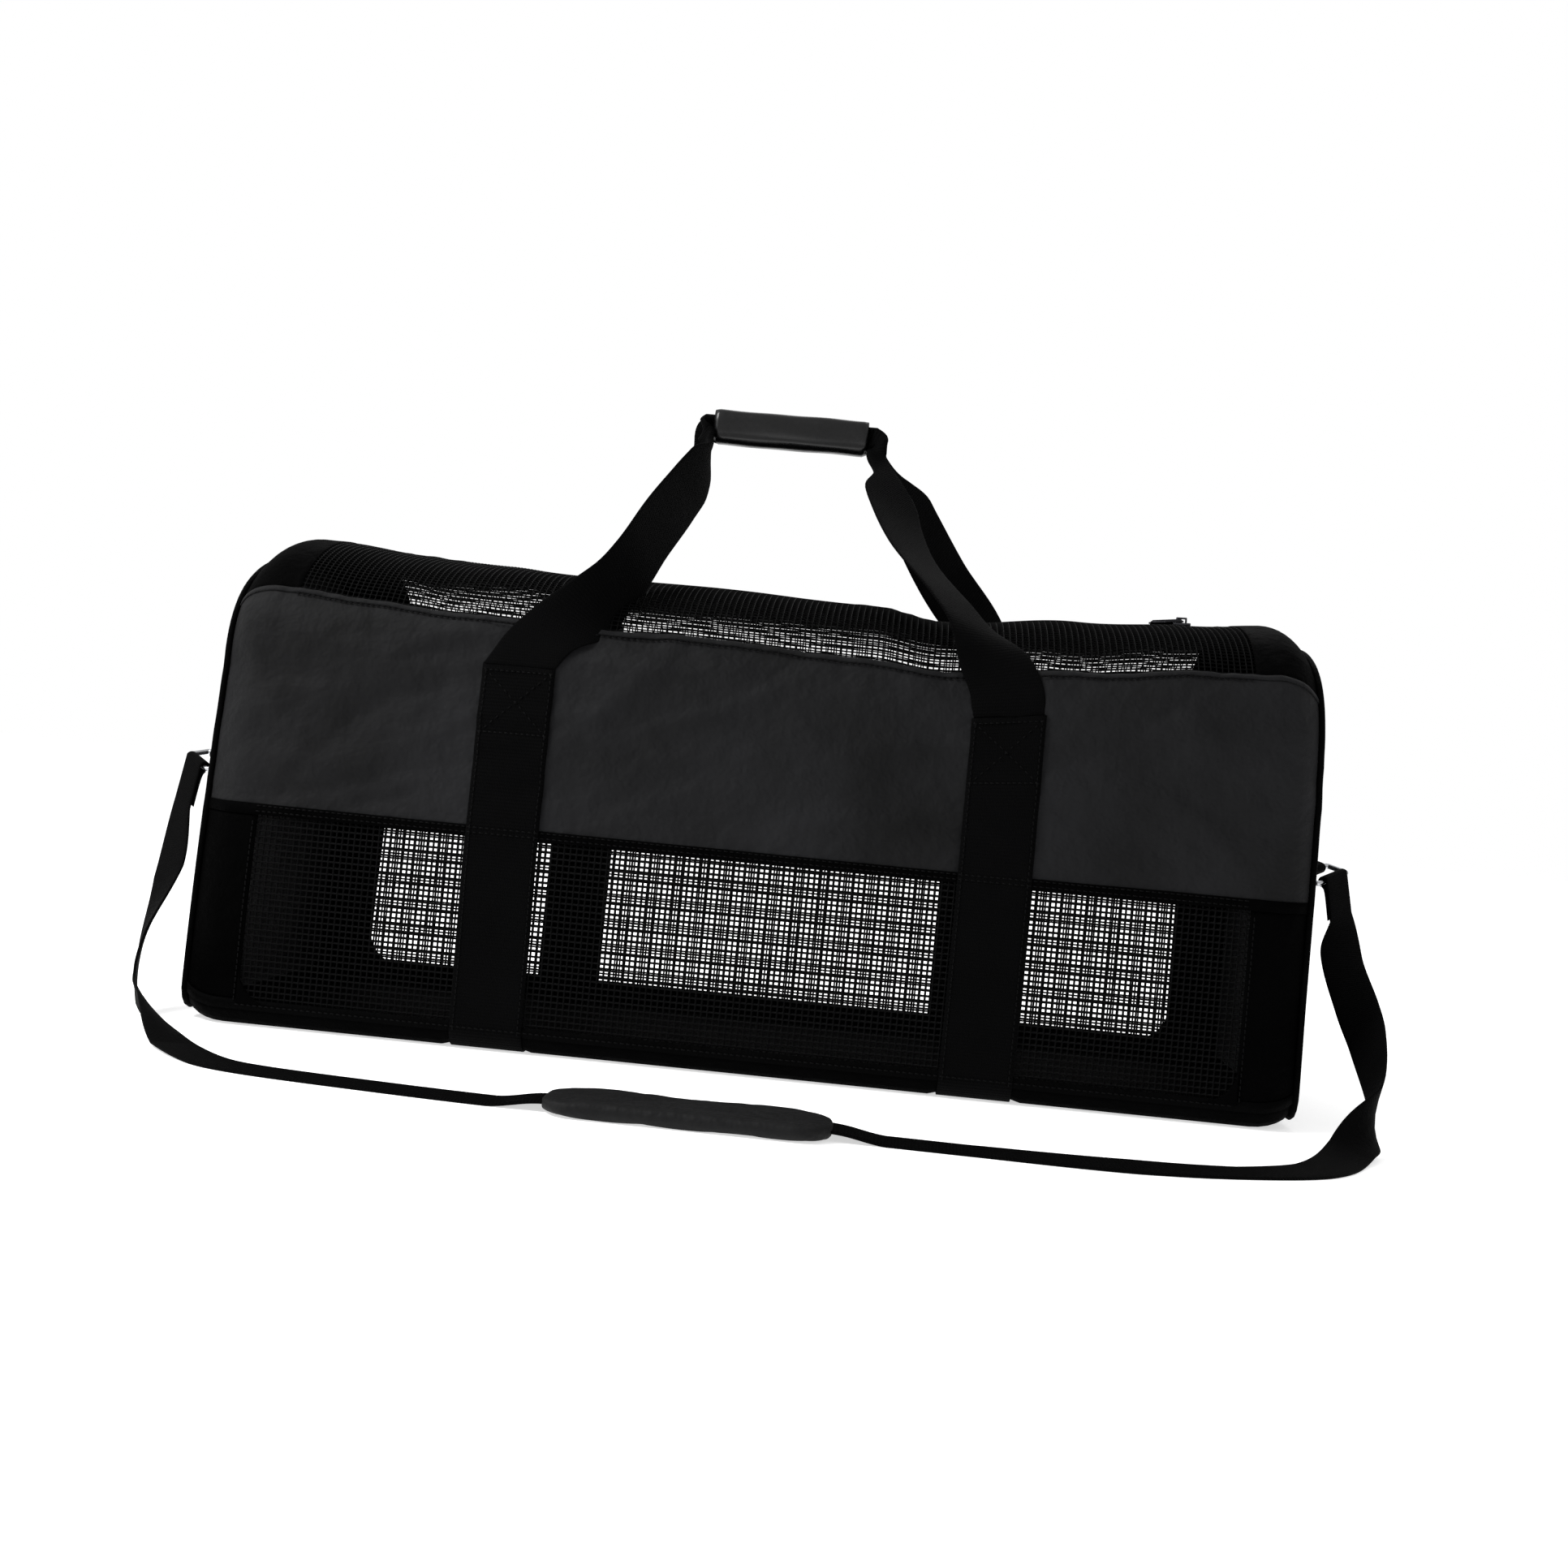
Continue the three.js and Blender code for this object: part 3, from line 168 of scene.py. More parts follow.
@dataclass(frozen=True)
class BagSkin:
    """The bag's outer skin: the same lofted, sagging shell as the CAD solids, with its folds added."""

    length: float = 792.0
    depth: float = 340.0
    ridge: float = 355.0
    shoulder: float = 265.0
    base_radius: float = 17.0
    belly: float = 5.0
    power: float = 2.5
    crease_rise: float = 0.12
    panel_rise: float = 0.456
    slope_rise: float = 0.93
    bulge: float = 8.0
    end_round: float = 34.0
    tuck_top: float = 40.0
    tuck_side: float = 28.0
    tuck_base: float = 18.0
    seam_angle: float = 60.0
    lean_left: float = 14.0
    lean_right: float = 8.0
    lean_start: float = 0.6
    centre_height: float = 165.0
    net_top: float = 148.0
    tape_half: float = 18.0
    border: float = 54.0
    top_border: float = 60.0
    webbing_width: float = 50.0
    webbing_place: float = 168.0
    webbing_lift: float = 2.1
    hem_step: float = 3.0
    broad_fold: float = 1.3
    fine_fold: float = 0.8
    pucker: float = 0.35
    pucker_reach: float = 8.0
    crease_count: int = 60
    crease_long: tuple[float, float] = (28.0, 85.0)
    crease_wide: tuple[float, float] = (3.5, 9.0)
    crease_deep: tuple[float, float] = (0.8, 2.6)
    sag_at: tuple[float, ...] = (-1.0, -0.86, -0.71, -0.54, -0.38, -0.06, 0.17, 0.3, 0.55, 0.75, 1.0)
    sag_ridge: tuple[float, ...] = (
        1.0, 0.996, 0.984, 0.98, 0.968, 0.969, 0.963, 0.944, 0.962, 0.98, 1.0,
    )
    sag_shoulder: tuple[float, ...] = (
        1.0, 0.995, 0.981, 0.957, 0.961, 0.955, 0.935, 0.929, 0.965, 1.0, 1.0,
    )

    @property
    def half(self) -> float:
        """Half the bag's length."""
        return self.length / 2

    @property
    def half_depth(self) -> float:
        """Half the bag's depth."""
        return self.depth / 2

    @property
    def round_start(self) -> float:
        """Where the ends start to round."""
        return self.half - self.bulge - self.end_round

    @property
    def edge_u(self) -> float:
        """u where the rounded edge ends and the end's face starts."""
        return self.round_start + self.end_round * math.pi / 2

    @property
    def seam_u(self) -> float:
        """u of the seam between the body and an end panel."""
        return self.round_start + self.end_round * math.radians(self.seam_angle)

    @property
    def border_u(self) -> float:
        """u of the wall net's side edge."""
        return self.half - self.border

    @property
    def top_border_u(self) -> float:
        """u of the top net's side edge."""
        return self.half - self.top_border

    @property
    def crease_v(self) -> float:
        """v of the crease that the handles leave the wall at."""
        return 4.0 + self.crease_rise / self.panel_rise

    def out_at_rise(self, rise: Array) -> Array:
        """The distance out from the middle at a share of the rise from shoulder to ridge."""
        return self.half_depth * (1 - np.clip(rise, 0, 1) ** self.power) ** (1 / self.power)

    def rise_at_out(self, out: Array) -> Array:
        """The share of the rise at a distance out from the middle."""
        share = np.clip(out / self.half_depth, 0, 1)
        return (1 - share**self.power) ** (1 / self.power)

    def sag(self, x: Array, column: Sequence[float]) -> Array:
        """Reads a sag column along the bag, eased between its rows.

        Args:
            x: Places along the bag.
            column: The column's shares.

        Returns:
            The share at each place.
        """
        rows = np.array(self.sag_at)
        values = np.array(column)
        at = np.clip(x / self.half, -1.0, 1.0)
        row = np.clip(np.searchsorted(rows, at, side="right") - 1, 0, len(rows) - 2)
        share = smooth(0.0, 1.0, (at - rows[row]) / (rows[row + 1] - rows[row]))
        return values[row] + (values[row + 1] - values[row]) * share

    def section(self, x: Array, place: Array) -> tuple[Array, Array]:
        """The bag's section at x before its ends are rounded.

        Args:
            x: Places along the bag.
            place: Places round the section.

        Returns:
            Y and Z.
        """
        v = np.where(place > RIDGE, place - 2 * RIDGE, np.where(place < -RIDGE, place + 2 * RIDGE, place))
        way = np.where(v >= 0, -1.0, 1.0)
        a = np.abs(v)
        share = a - np.floor(a)
        ridge = self.ridge * self.sag(x, self.sag_ridge)
        shoulder = self.shoulder * self.sag(x, self.sag_shoulder)
        low = self.half_depth - self.base_radius
        angle = np.clip(a - 1, 0, 1) * math.pi / 2
        wall_z = np.where(
            a < 3,
            self.base_radius + (self.net_top - self.base_radius) * (a - 2),
            self.net_top + (shoulder - self.net_top) * (a - 3),
        )
        bow_angle = np.clip((wall_z - self.base_radius) / (shoulder - self.base_radius), 0, 1) * math.pi
        wall_y = self.half_depth + self.belly * np.sin(bow_angle) ** 2 * (1 - (x / self.half) ** 2)
        slope_out = self.out_at_rise(np.array(self.slope_rise))
        rise = np.select(
            [a < 5, a < 6, a < 7],
            [
                self.panel_rise * np.clip(a - 4, 0, 1),
                self.panel_rise + (self.slope_rise - self.panel_rise) * share,
                self.rise_at_out(slope_out + (self.tape_half - slope_out) * share),
            ],
            self.rise_at_out(self.tape_half * np.clip(RIDGE - a, 0, 1)),
        )
        zones = [a < 1, a < 2, a < 4]
        base_y = low + self.base_radius * np.sin(angle)
        y = np.select(zones, [a * low, base_y, wall_y], self.out_at_rise(rise))
        z = np.select(
            zones,
            [np.zeros_like(a), self.base_radius * (1 - np.cos(angle)), wall_z],
            shoulder + (ridge - shoulder) * rise,
        )
        return way * y, z

    def bare(self, u: Array, v: Array) -> tuple[Array, Array]:
        """Points of the smooth skin.

        Args:
            u: Places along the skin.
            v: Places round it.

        Returns:
            The points, and how far each faces down, from 0 to 1.
        """
        side = np.sign(u)
        reach = np.abs(u)
        angle = np.clip((reach - self.round_start) / self.end_round, 0, math.pi / 2)
        inward = np.clip((reach - self.edge_u) / self.half_depth, 0, 1)
        x = np.where(reach < self.round_start, u, side * (self.round_start + self.end_round * np.sin(angle)))
        y, z = self.section(x, v)
        next_y, next_z = self.section(x, v + STEP)
        last_y, last_z = self.section(x, v - STEP)
        down = np.maximum(0, (last_y - next_y) / np.hypot(next_y - last_y, next_z - last_z))
        tuck = 1 - np.cos(angle)
        top_share = self.tuck_top / (self.ridge - self.centre_height)
        height_share = np.where(z > self.centre_height, top_share, self.tuck_base / self.centre_height)
        y = y * (1 - self.tuck_side / self.half_depth * tuck)
        z = z + (self.centre_height - z) * height_share * tuck
        lean = np.where(side < 0, self.lean_left, self.lean_right)
        lean = lean * np.maximum(0, z / self.ridge) ** 1.5
        x = x - side * lean * smooth(self.lean_start, 1.0, reach / self.half) * (1 - inward)
        x = x + side * self.bulge * (1 - (1 - inward) ** 2)
        y = y * (1 - inward)
        z = z + (self.centre_height - z) * inward
        return np.stack([x, y, z], axis=-1), down

    def normal(self, u: Array, v: Array) -> Array:
        """The smooth skin's outward directions.

        Args:
            u: Places along the skin.
            v: Places round it.

        Returns:
            Directions of length 1.
        """
        step = 0.4
        along = self.bare(u + step, v)[0] - self.bare(u - step, v)[0]
        around = self.bare(u, v + 2 * STEP)[0] - self.bare(u, v - 2 * STEP)[0]
        normal = unit(np.cross(along, around))
        pole = np.abs(u) > self.edge_u + self.half_depth - 2
        face = np.stack([np.sign(u), np.zeros_like(u), np.zeros_like(u)], axis=-1)
        return np.where(pole[..., None], face, normal)

    def folds(self, u: Array, v: Array) -> Array:
        """How far the cloth's folds stand off the smooth skin, the same on every piece that is sewn to it.

        Args:
            u: Places along the skin.
            v: Places round it.

        Returns:
            Distances in millimetres.
        """
        h = self.height_at(v)
        way = np.sign(v)
        soft = self.broad_fold * np.sin(u / 47 + 1.1 * np.sin(h / 71 + way)) * np.sin(h / 52 + 0.6 * way)
        soft = soft + self.fine_fold * np.sin(u / 23 - h / 61 + 2.1 * way) * np.sin(u / 139 + h / 88)
        soft = soft + self.creases(u, np.abs(h), way)
        pucker = np.zeros_like(u)
        for seam in (3.0, 5.0, 7.0):
            gap = np.abs(h - way * self.height(seam))
            ripple = np.sin(u / 2.9 + 1.7 * np.sin(u / 17.0) + seam)
            pucker = pucker + np.exp(-gap / self.pucker_reach) * ripple
        wall = smooth(1.9, 2.6, np.abs(v))
        end = 1 - smooth(self.seam_u - 20, self.seam_u + 4, np.abs(u))
        ridge = 1 - smooth(7.0, 7.9, np.abs(v))
        return (soft + self.pucker * pucker) * wall * ridge * (0.25 + 0.75 * end)

    def creases(self, u: Array, h: Array, way: Array) -> Array:
        """The loose creases of the solid cloth: soft ridges and dips scattered over both walls.

        Args:
            u: Places along the skin.
            h: Heights round the section, without sign.
            way: The wall's sign.

        Returns:
            Distances in millimetres.
        """
        total = np.zeros_like(u)
        low, high = self.height(3.0), self.height(5.0)
        for wall in (1.0, -1.0):
            draw = np.random.default_rng(7 if wall > 0 else 11)
            for _ in range(self.crease_count):
                middle_u = draw.uniform(-0.95, 0.95) * self.half
                middle_h = draw.uniform(low + 12, high - 4)
                turn = draw.normal(0.0, 0.42) - 0.12 * np.sign(middle_u)
                long, wide = draw.uniform(*self.crease_long), draw.uniform(*self.crease_wide)
                depth = draw.uniform(*self.crease_deep) * (1 if draw.random() > 0.4 else -1)
                bend = draw.uniform(-0.004, 0.004)
                step_u, step_h = u - middle_u, h - middle_h
                along = step_u * math.cos(turn) + step_h * math.sin(turn)
                across = step_h * math.cos(turn) - step_u * math.sin(turn) + bend * along * along
                shape = np.exp(-((across / wide) ** 2) - (along / long) ** 2)
                total = total + np.where(way == wall, depth * shape, 0.0)
        return total * smooth(low - 8, low + 6, h)

    def off(self, u: Array, v: Array, offset: Array | float) -> Array:
        """Points off the skin, folds and the base's lift over the webbing included.

        Args:
            u: Places along the skin.
            v: Places round it.
            offset: Distance out from the skin.

        Returns:
            The points.
        """
        u, v = np.broadcast_arrays(np.asarray(u, float), np.asarray(v, float))
        points, down = self.bare(u, v)
        reach = np.abs(u)
        inner = self.webbing_place - self.webbing_width / 2 - self.hem_step
        outer = self.webbing_place + self.webbing_width / 2 + self.hem_step
        edge = np.minimum(reach - inner, outer - reach) / self.hem_step
        points[..., 2] += self.webbing_lift * down * np.clip(edge, 0, 1)
        distance = np.asarray(offset + self.folds(u, v))
        return points + self.normal(u, v) * distance[..., None]

    def height_at(self, v: Array) -> Array:
        """The distance round the middle section from the middle of the base, signed as v is."""
        places, heights = self.heights()
        return np.interp(v, places, heights)

    def height(self, place: float) -> float:
        """The distance round the middle section to one place."""
        return float(self.height_at(np.array(place)))

    @cache
    def heights(self) -> tuple[Array, Array]:
        """The distance round the middle section, walked once in small steps a little past the ridge.

        Returns:
            Places round the section, and the distance to each from the middle of the base.
        """
        places = np.linspace(-RIDGE - 0.6, RIDGE + 0.6, 3441)
        y, z = self.section(np.zeros_like(places), places)
        walked = run_length(np.stack([y, z], axis=-1))
        return places, walked - np.interp(0.0, places, walked)

    def place_at(self, height: Array) -> Array:
        """The place round the section at a distance walked round it."""
        places, heights = self.heights()
        return np.interp(height, heights, places)

    def span(self, wall: Wall, low: float, high: float) -> tuple[float, float]:
        """The places round the section between two distances walked up one wall."""
        first, last = (float(self.place_at(np.array(h))) for h in on_side(wall.value, low, high))
        return first, last


class Signal:
    """A shader socket that Python's operators work on, each as a Math node."""

    def __init__(self, tree: "ShaderTree", socket: bpy.types.NodeSocket) -> None:
        """Wraps an output socket of a tree."""
        self.tree = tree
        self.socket = socket

    def math(self, operation: str, *values: object) -> "Signal":
        """A Math node on the given values.

        Args:
            operation: The node's operation.
            values: Signals or numbers, in the order of the sockets.

        Returns:
            The node's output.
        """
        return self.tree.node("ShaderNodeMath", {"operation": operation}, dict(enumerate(values)))

    def __add__(self, other: object) -> "Signal":
        """The sum."""
        return self.math("ADD", self, other)

    __radd__ = __add__

    def __sub__(self, other: object) -> "Signal":
        """The difference."""
        return self.math("SUBTRACT", self, other)

    def __rsub__(self, other: object) -> "Signal":
        """The difference, the other way round."""
        return self.math("SUBTRACT", other, self)

    def __mul__(self, other: object) -> "Signal":
        """The product."""
        return self.math("MULTIPLY", self, other)

    __rmul__ = __mul__

    def sine(self) -> "Signal":
        """The sine."""
        return self.math("SINE", self)

    def absolute(self) -> "Signal":
        """The value without its sign."""
        return self.math("ABSOLUTE", self)


class ShaderTree:
    """The node tree of one material, with one method for any node."""

    def __init__(self, name: str) -> None:
        """Makes a material with an empty tree.

        Args:
            name: The material's name.
        """
        self.material = bpy.data.materials.new(name)
        self.material.use_nodes = True
        self.tree = self.material.node_tree
        self.tree.nodes.clear()

    def node(
        self,
        kind: str,
        settings: dict[str, object] | None = None,
        sockets: dict[str | int, object] | None = None,
        output: str | int = 0,
    ) -> Signal:
        """Adds a node.

        Args:
            kind: The node's type.
            settings: Its own settings, which are set first.
            sockets: Values or signals of its inputs, by name or place.
            output: The output that is handed back.

        Returns:
            The output as a signal.
        """
        node = self.tree.nodes.new(kind)
        for key, value in (settings or {}).items():
            setattr(node, key, value)
        for key, value in (sockets or {}).items():
            if isinstance(value, Signal):
                self.tree.links.new(value.socket, node.inputs[key])
            else:
                node.inputs[key].default_value = value
        return Signal(self, node.outputs[output])

    def surface(self, sockets: dict[str | int, object]) -> bpy.types.Material:
        """Ends the tree in the one shader that every finish has.

        Args:
            sockets: Values or signals of the shader's inputs.

        Returns:
            The finished material.
        """
        shader = self.node("ShaderNodeBsdfPrincipled", None, sockets)
        output = self.tree.nodes.new("ShaderNodeOutputMaterial")
        self.tree.links.new(shader.socket, output.inputs["Surface"])
        return self.material

    def noise(self, scale: float, detail: float, roughness: float = 0.5) -> Signal:
        """Soft noise in the object's own place.

        Args:
            scale: How fine it is.
            detail: How many finer layers it has.
            roughness: How strong those are.

        Returns:
            The noise, from 0 to 1.
        """
        place = self.node("ShaderNodeTexCoord", None, None, "Object")
        sockets = {"Vector": place, "Scale": scale, "Detail": detail, "Roughness": roughness}
        return self.node("ShaderNodeTexNoise", None, sockets)

    def bump(self, strength: float, distance: float, height: Signal, under: Signal | None = None) -> Signal:
        """A bumped normal.

        Args:
            strength: How strong it is.
            distance: The height of its bumps, in metres.
            height: The bumps.
            under: Another bumped normal that it stands on.

        Returns:
            The normal.
        """
        sockets: dict[str | int, object] = {"Strength": strength, "Distance": distance, "Height": height}
        if under is not None:
            sockets["Normal"] = under
        return self.node("ShaderNodeBump", None, sockets)

    def weave_map(self, pitch: float) -> tuple[Signal, Signal]:
        """The cloth's own map, as turns of its threads.

        Args:
            pitch: The distance between threads, in metres.

        Returns:
            The turn across and the turn along.
        """
        uv = self.node("ShaderNodeUVMap", {"uv_map": "weave"})
        turn = 2 * math.pi / pitch
        across, along = (self.node("ShaderNodeSeparateXYZ", None, {0: uv}, axis) * turn for axis in (0, 1))
        return across, along

    def blend_colours(self, share: Signal, first: Sequence[float], second: Sequence[float]) -> Signal:
        """A colour between two.

        Args:
            share: 0 gives the first and 1 the second.
            first: A colour.
            second: Another.

        Returns:
            The mixed colour.
        """
        settings = {"data_type": "RGBA", "clamp_factor": True}
        sockets = {0: share, 6: (*first, 1.0), 7: (*second, 1.0)}
        return self.node("ShaderNodeMix", settings, sockets, 2)


@dataclass(frozen=True)
class WovenFinish:
    """Woven nylon: two crossing sets of threads in a soft, uneven black."""

    name: str
    colour: tuple[float, float, float]
    lit: tuple[float, float, float]
    pitch: float = 0.0011
    roughness: float = 0.7
    sheen: float = 0.0
    shine: float = 0.14
    depth: float = 0.00022

    def make(self) -> bpy.types.Material:
        """Builds the material.

        Returns:
            The material.
        """
        tree = ShaderTree(self.name)
        across, along = tree.weave_map(self.pitch)
        patches = tree.noise(9.0, 3.0)
        grain = tree.noise(900.0, 1.0)
        crumple = tree.noise(26.0, 4.0, 0.6)
        tone = (patches - 0.5) * 1.9 + 0.35 + grain * 0.2
        soft = tree.bump(0.9, 0.007, crumple)
        height = across.sine() * along.sine() * 0.5 + grain
        return tree.surface({
            "Base Color": tree.blend_colours(tone, self.colour, self.lit),
            "Roughness": self.roughness,
            "Sheen Weight": self.sheen,
            "Specular IOR Level": self.shine,
            "Normal": tree.bump(0.6, self.depth, height, soft),
        })


@dataclass(frozen=True)
class RibbedFinish:
    """Nylon webbing: cross ribs between two smooth edges, read off the piece's own map."""

    name: str
    colour: tuple[float, float, float] = (0.0004, 0.0004, 0.0004)
    lit: tuple[float, float, float] = (0.0018, 0.0018, 0.002)
    pitch: float = 0.0024
    roughness: float = 0.75
    shine: float = 0.03

    def make(self) -> bpy.types.Material:
        """Builds the material.

        Returns:
            The material.
        """
        tree = ShaderTree(self.name)
        across, along = tree.weave_map(self.pitch)
        cord = (across * 1.5).sine()
        rib = (along + cord * 0.8).sine()
        height = rib * 0.35 + cord.absolute() * 0.4
        wear = tree.noise(22.0, 3.0)
        return tree.surface({
            # The rib height in this colour mix is painted shade: the grooves between the ribs are darker and
            # the rib tops lighter. The wear noise adds uneven tone on top.
            "Base Color": tree.blend_colours(wear * 0.6 + height * 0.25, self.colour, self.lit),
            "Roughness": self.roughness,
            "Specular IOR Level": self.shine,
            "Normal": tree.bump(0.8, 0.0005, height),
        })


@dataclass(frozen=True)
class PlainFinish:
    """An even surface with a fine grain: net strands, thread, coil, grip wrap and steel."""

    name: str
    colour: tuple[float, float, float]
    roughness: float = 0.5
    metallic: float = 0.0
    shine: float = 0.5
    grain: float = 0.0
    glow: float = 0.0
    grain_scale: float = 300.0

    def make(self) -> bpy.types.Material:
        """Builds the material.

        Returns:
            The material.
        """
        tree = ShaderTree(self.name)
        noise = tree.noise(self.grain_scale, 2.0)
        sockets: dict[str | int, object] = {
            "Base Color": (*self.colour, 1.0),
            "Roughness": noise * 0.16 + (self.roughness - 0.08),
            "Metallic": self.metallic,
            "Specular IOR Level": self.shine,
            "Emission Color": (1.0, 1.0, 1.0, 1.0),
            "Emission Strength": self.glow,
        }
        if self.grain:
            sockets["Normal"] = tree.bump(0.7, self.grain, noise)
        return tree.surface(sockets)


class Finishes:
    """Every material of the bag, made once."""

    def __init__(self) -> None:
        """Makes the materials."""
        self.fabric = WovenFinish(
            "woven_nylon", (0.0002, 0.0002, 0.0003), (0.0085, 0.0086, 0.0098), sheen=0.02
        ).make()
        self.dark_fabric = WovenFinish(
            "dark_woven_nylon", (0.0002, 0.0002, 0.0002), (0.0009, 0.0009, 0.001), shine=0.012
        ).make()
        self.hem = WovenFinish(
            "hem_tape", (0.0003, 0.0003, 0.0003), (0.001, 0.001, 0.0011), shine=0.02
        ).make()
        self.pad = WovenFinish(
            "pad_cloth", (0.0006, 0.0006, 0.0007), (0.005, 0.005, 0.0054), shine=0.2
        ).make()
        self.webbing = RibbedFinish("ribbed_webbing").make()
        self.strap = RibbedFinish("strap_webbing", pitch=0.0020).make()
        self.net = PlainFinish("net_strand", (0.0008, 0.0008, 0.0009), 0.6, shine=0.06, grain=0.0001).make()
        self.thread = PlainFinish("thread", (0.001, 0.001, 0.0011), 0.6, shine=0.06).make()
        self.coil = PlainFinish("zip_coil", (0.002, 0.002, 0.002), 0.4, shine=0.3).make()
        self.grip = PlainFinish(
            "grip_wrap_cloth", (0.0008, 0.0008, 0.001), 0.3, shine=0.4, grain=0.0001
        ).make()
        self.steel = PlainFinish("bright_steel", (0.62, 0.63, 0.65), 0.24, metallic=1.0).make()
        self.dark_steel = PlainFinish("black_steel", (0.05, 0.05, 0.055), 0.3, metallic=1.0).make()


def as_object(name: str, work: bmesh.types.BMesh, finish: bpy.types.Material) -> bpy.types.Object:
    """Turns a finished shape into a smooth-shaded object at the origin.

    Args:
        name: The object's name.
        work: Its shape, in place, which is freed here.
        finish: Its material.

    Returns:
        The object.
    """
    mesh = bpy.data.meshes.new(name)
    work.to_mesh(mesh)
    work.free()
    mesh.materials.append(finish)
    piece = bpy.data.objects.new(name, mesh)
    bpy.context.scene.collection.objects.link(piece)
    for polygon in mesh.polygons:
        polygon.use_smooth = True
    return piece


def mapped_grid(
    name: str,
    points: Array,
    weave: Array,
    finish: bpy.types.Material,
    tube: bool = False,
    capped: bool = False,
    ring: bool = False,
) -> bpy.types.Object:
    """A grid of faces laid over rows of points, left open or closed round into a tube.

    Args:
        name: The piece's name.
        points: Rows and columns of points in millimetres; columns x rows face outwards.
        weave: The same rows and columns of the cloth's own map, in millimetres.
        finish: The material.
        tube: Whether the last column meets the first.
        capped: Whether the tube's ends are closed.
        ring: Whether the last row meets the first.

    Returns:
        The piece.
    """
    rows, columns = points.shape[:2]
    work = bmesh.new()
    layer = work.loops.layers.uv.new("weave")
    bmesh.ops.create_grid(work, x_segments=columns - 1, y_segments=rows - 1, size=1.0)
    place_of: dict[int, tuple[int, int]] = {}
    work.verts.index_update()
    for vert in work.verts:
        column = round((vert.co.x + 1) / 2 * (columns - 1))
        row = round((vert.co.y + 1) / 2 * (rows - 1))
        place_of[vert.index] = (row, column)
    for face in work.faces:
        for loop in face.loops:
            loop[layer].uv = weave[place_of[loop.vert.index]] * METRE
    for vert in work.verts:
        vert.co = Vector(points[place_of[vert.index]] * METRE)
    if tube or ring:
        bmesh.ops.remove_doubles(work, verts=work.verts[:], dist=1e-6)
        if capped:
            open_edges = [edge for edge in work.edges if edge.is_boundary]
            bmesh.ops.holes_fill(work, edges=open_edges, sides=0)
        bmesh.ops.recalc_face_normals(work, faces=work.faces[:])
    return as_object(name, work, finish)


def bevel(work: bmesh.types.BMesh, edges: Sequence[bmesh.types.BMEdge], radius: float, segments: int) -> None:
    """Rounds edges of a shape.

    Args:
        work: The shape.
        edges: Its edges to round.
        radius: The rounding in metres.
        segments: How many flats each rounding has.
    """
    bmesh.ops.bevel(
        work, geom=edges, offset=radius, offset_type="OFFSET", segments=segments, profile=0.5,
        affect="EDGES", material=-1,
    )


def upright(work: bmesh.types.BMesh, shortest: float) -> list[bmesh.types.BMEdge]:
    """The edges of a shape that rise by more than a height in metres."""
    return [e for e in work.edges if abs((e.verts[0].co - e.verts[1].co).z) > shortest]


def block(size: Sequence[float]) -> Matrix:
    """The scaling of a unit cube to a block with sides in metres."""
    return Matrix.Diagonal((*size, 1))


def frame_at(x_axis: Vector, y_axis: Vector, z_axis: Vector, place: Vector) -> Matrix:
    """A frame of three axes at a place in metres."""
    frame = Matrix((x_axis, y_axis, z_axis)).transposed().to_4x4()
    frame.translation = place
    return frame


def thicken(piece: bpy.types.Object, thickness: float) -> None:
    """Gives an open sheet its wall, inwards from its faces.

    Args:
        piece: The sheet.
        thickness: The wall in millimetres.
    """
    wall = piece.modifiers.new("wall", "SOLIDIFY")
    wall.thickness = thickness * METRE
    wall.offset = -1.0
    wall.use_even_offset = False


def dress(piece: bpy.types.Object, slot: str, *nodes: str) -> bpy.types.Object:
    """Ties a finished piece to the frame.

    Args:
        piece: The piece, in place.
        slot: The material slot's name, which is not used.
        nodes: The CAD nodes that it stands for.

    Returns:
        The piece.
    """
    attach(piece, "root")
    if nodes:
        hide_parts(*nodes)
    LOG.info("piece %s", piece.name)
    return piece


@dataclass
class ClothPanel:
    """One sheet of cloth or net over a part of the skin."""

    skin: BagSkin
    name: str
    us: tuple[float, float]
    vs: tuple[float, float]
    pitch: float = 5.0
    offset: float = 0.0

    def grid(self) -> tuple[Array, Array]:
        """The sheet's grid, in even steps along and round.

        Returns:
            Its points and its map.
        """
        low, high = (self.skin.height(v) for v in self.vs)
        columns = max(2, round((self.us[1] - self.us[0]) / self.pitch))
        rows = max(2, round((high - low) / self.pitch))
        u, h = np.meshgrid(np.linspace(*self.us, columns + 1), np.linspace(low, high, rows + 1))
        return self.skin.off(u, self.skin.place_at(h), self.offset), np.stack([u, h], axis=-1)

    def cloth(self, finish: bpy.types.Material, thickness: float) -> bpy.types.Object:
        """Builds the sheet as cloth.

        Args:
            finish: The material.
            thickness: The cloth's thickness.

        Returns:
            The piece.
        """
        points, weave = self.grid()
        piece = mapped_grid(self.name, points, weave, finish)
        thicken(piece, thickness)
        return piece

    def flat_size(self) -> tuple[float, float]:
        """The sheet's flat width and length in metres."""
        low, high = (self.skin.height(v) for v in self.vs)
        return (high - low) * METRE, (self.us[1] - self.us[0]) * METRE


@dataclass
class NetPanel(ClothPanel):
    """One window of open square net, with a strand along every line of its grid."""

    pitch: float = 4.3
    strand: float = 2.1

    def net(self, finish: bpy.types.Material) -> bpy.types.Object:
        """Builds the net's strands.

        Args:
            finish: The material.

        Returns:
            The piece.
        """
        points, weave = self.grid()
        piece = mapped_grid(self.name, points, weave, finish)
        strands = piece.modifiers.new("strands", "WIREFRAME")
        strands.thickness = self.strand * METRE
        strands.use_even_offset = False
        strands.use_boundary = True
        strands.offset = 0.0
        self.flat_size()
        return piece


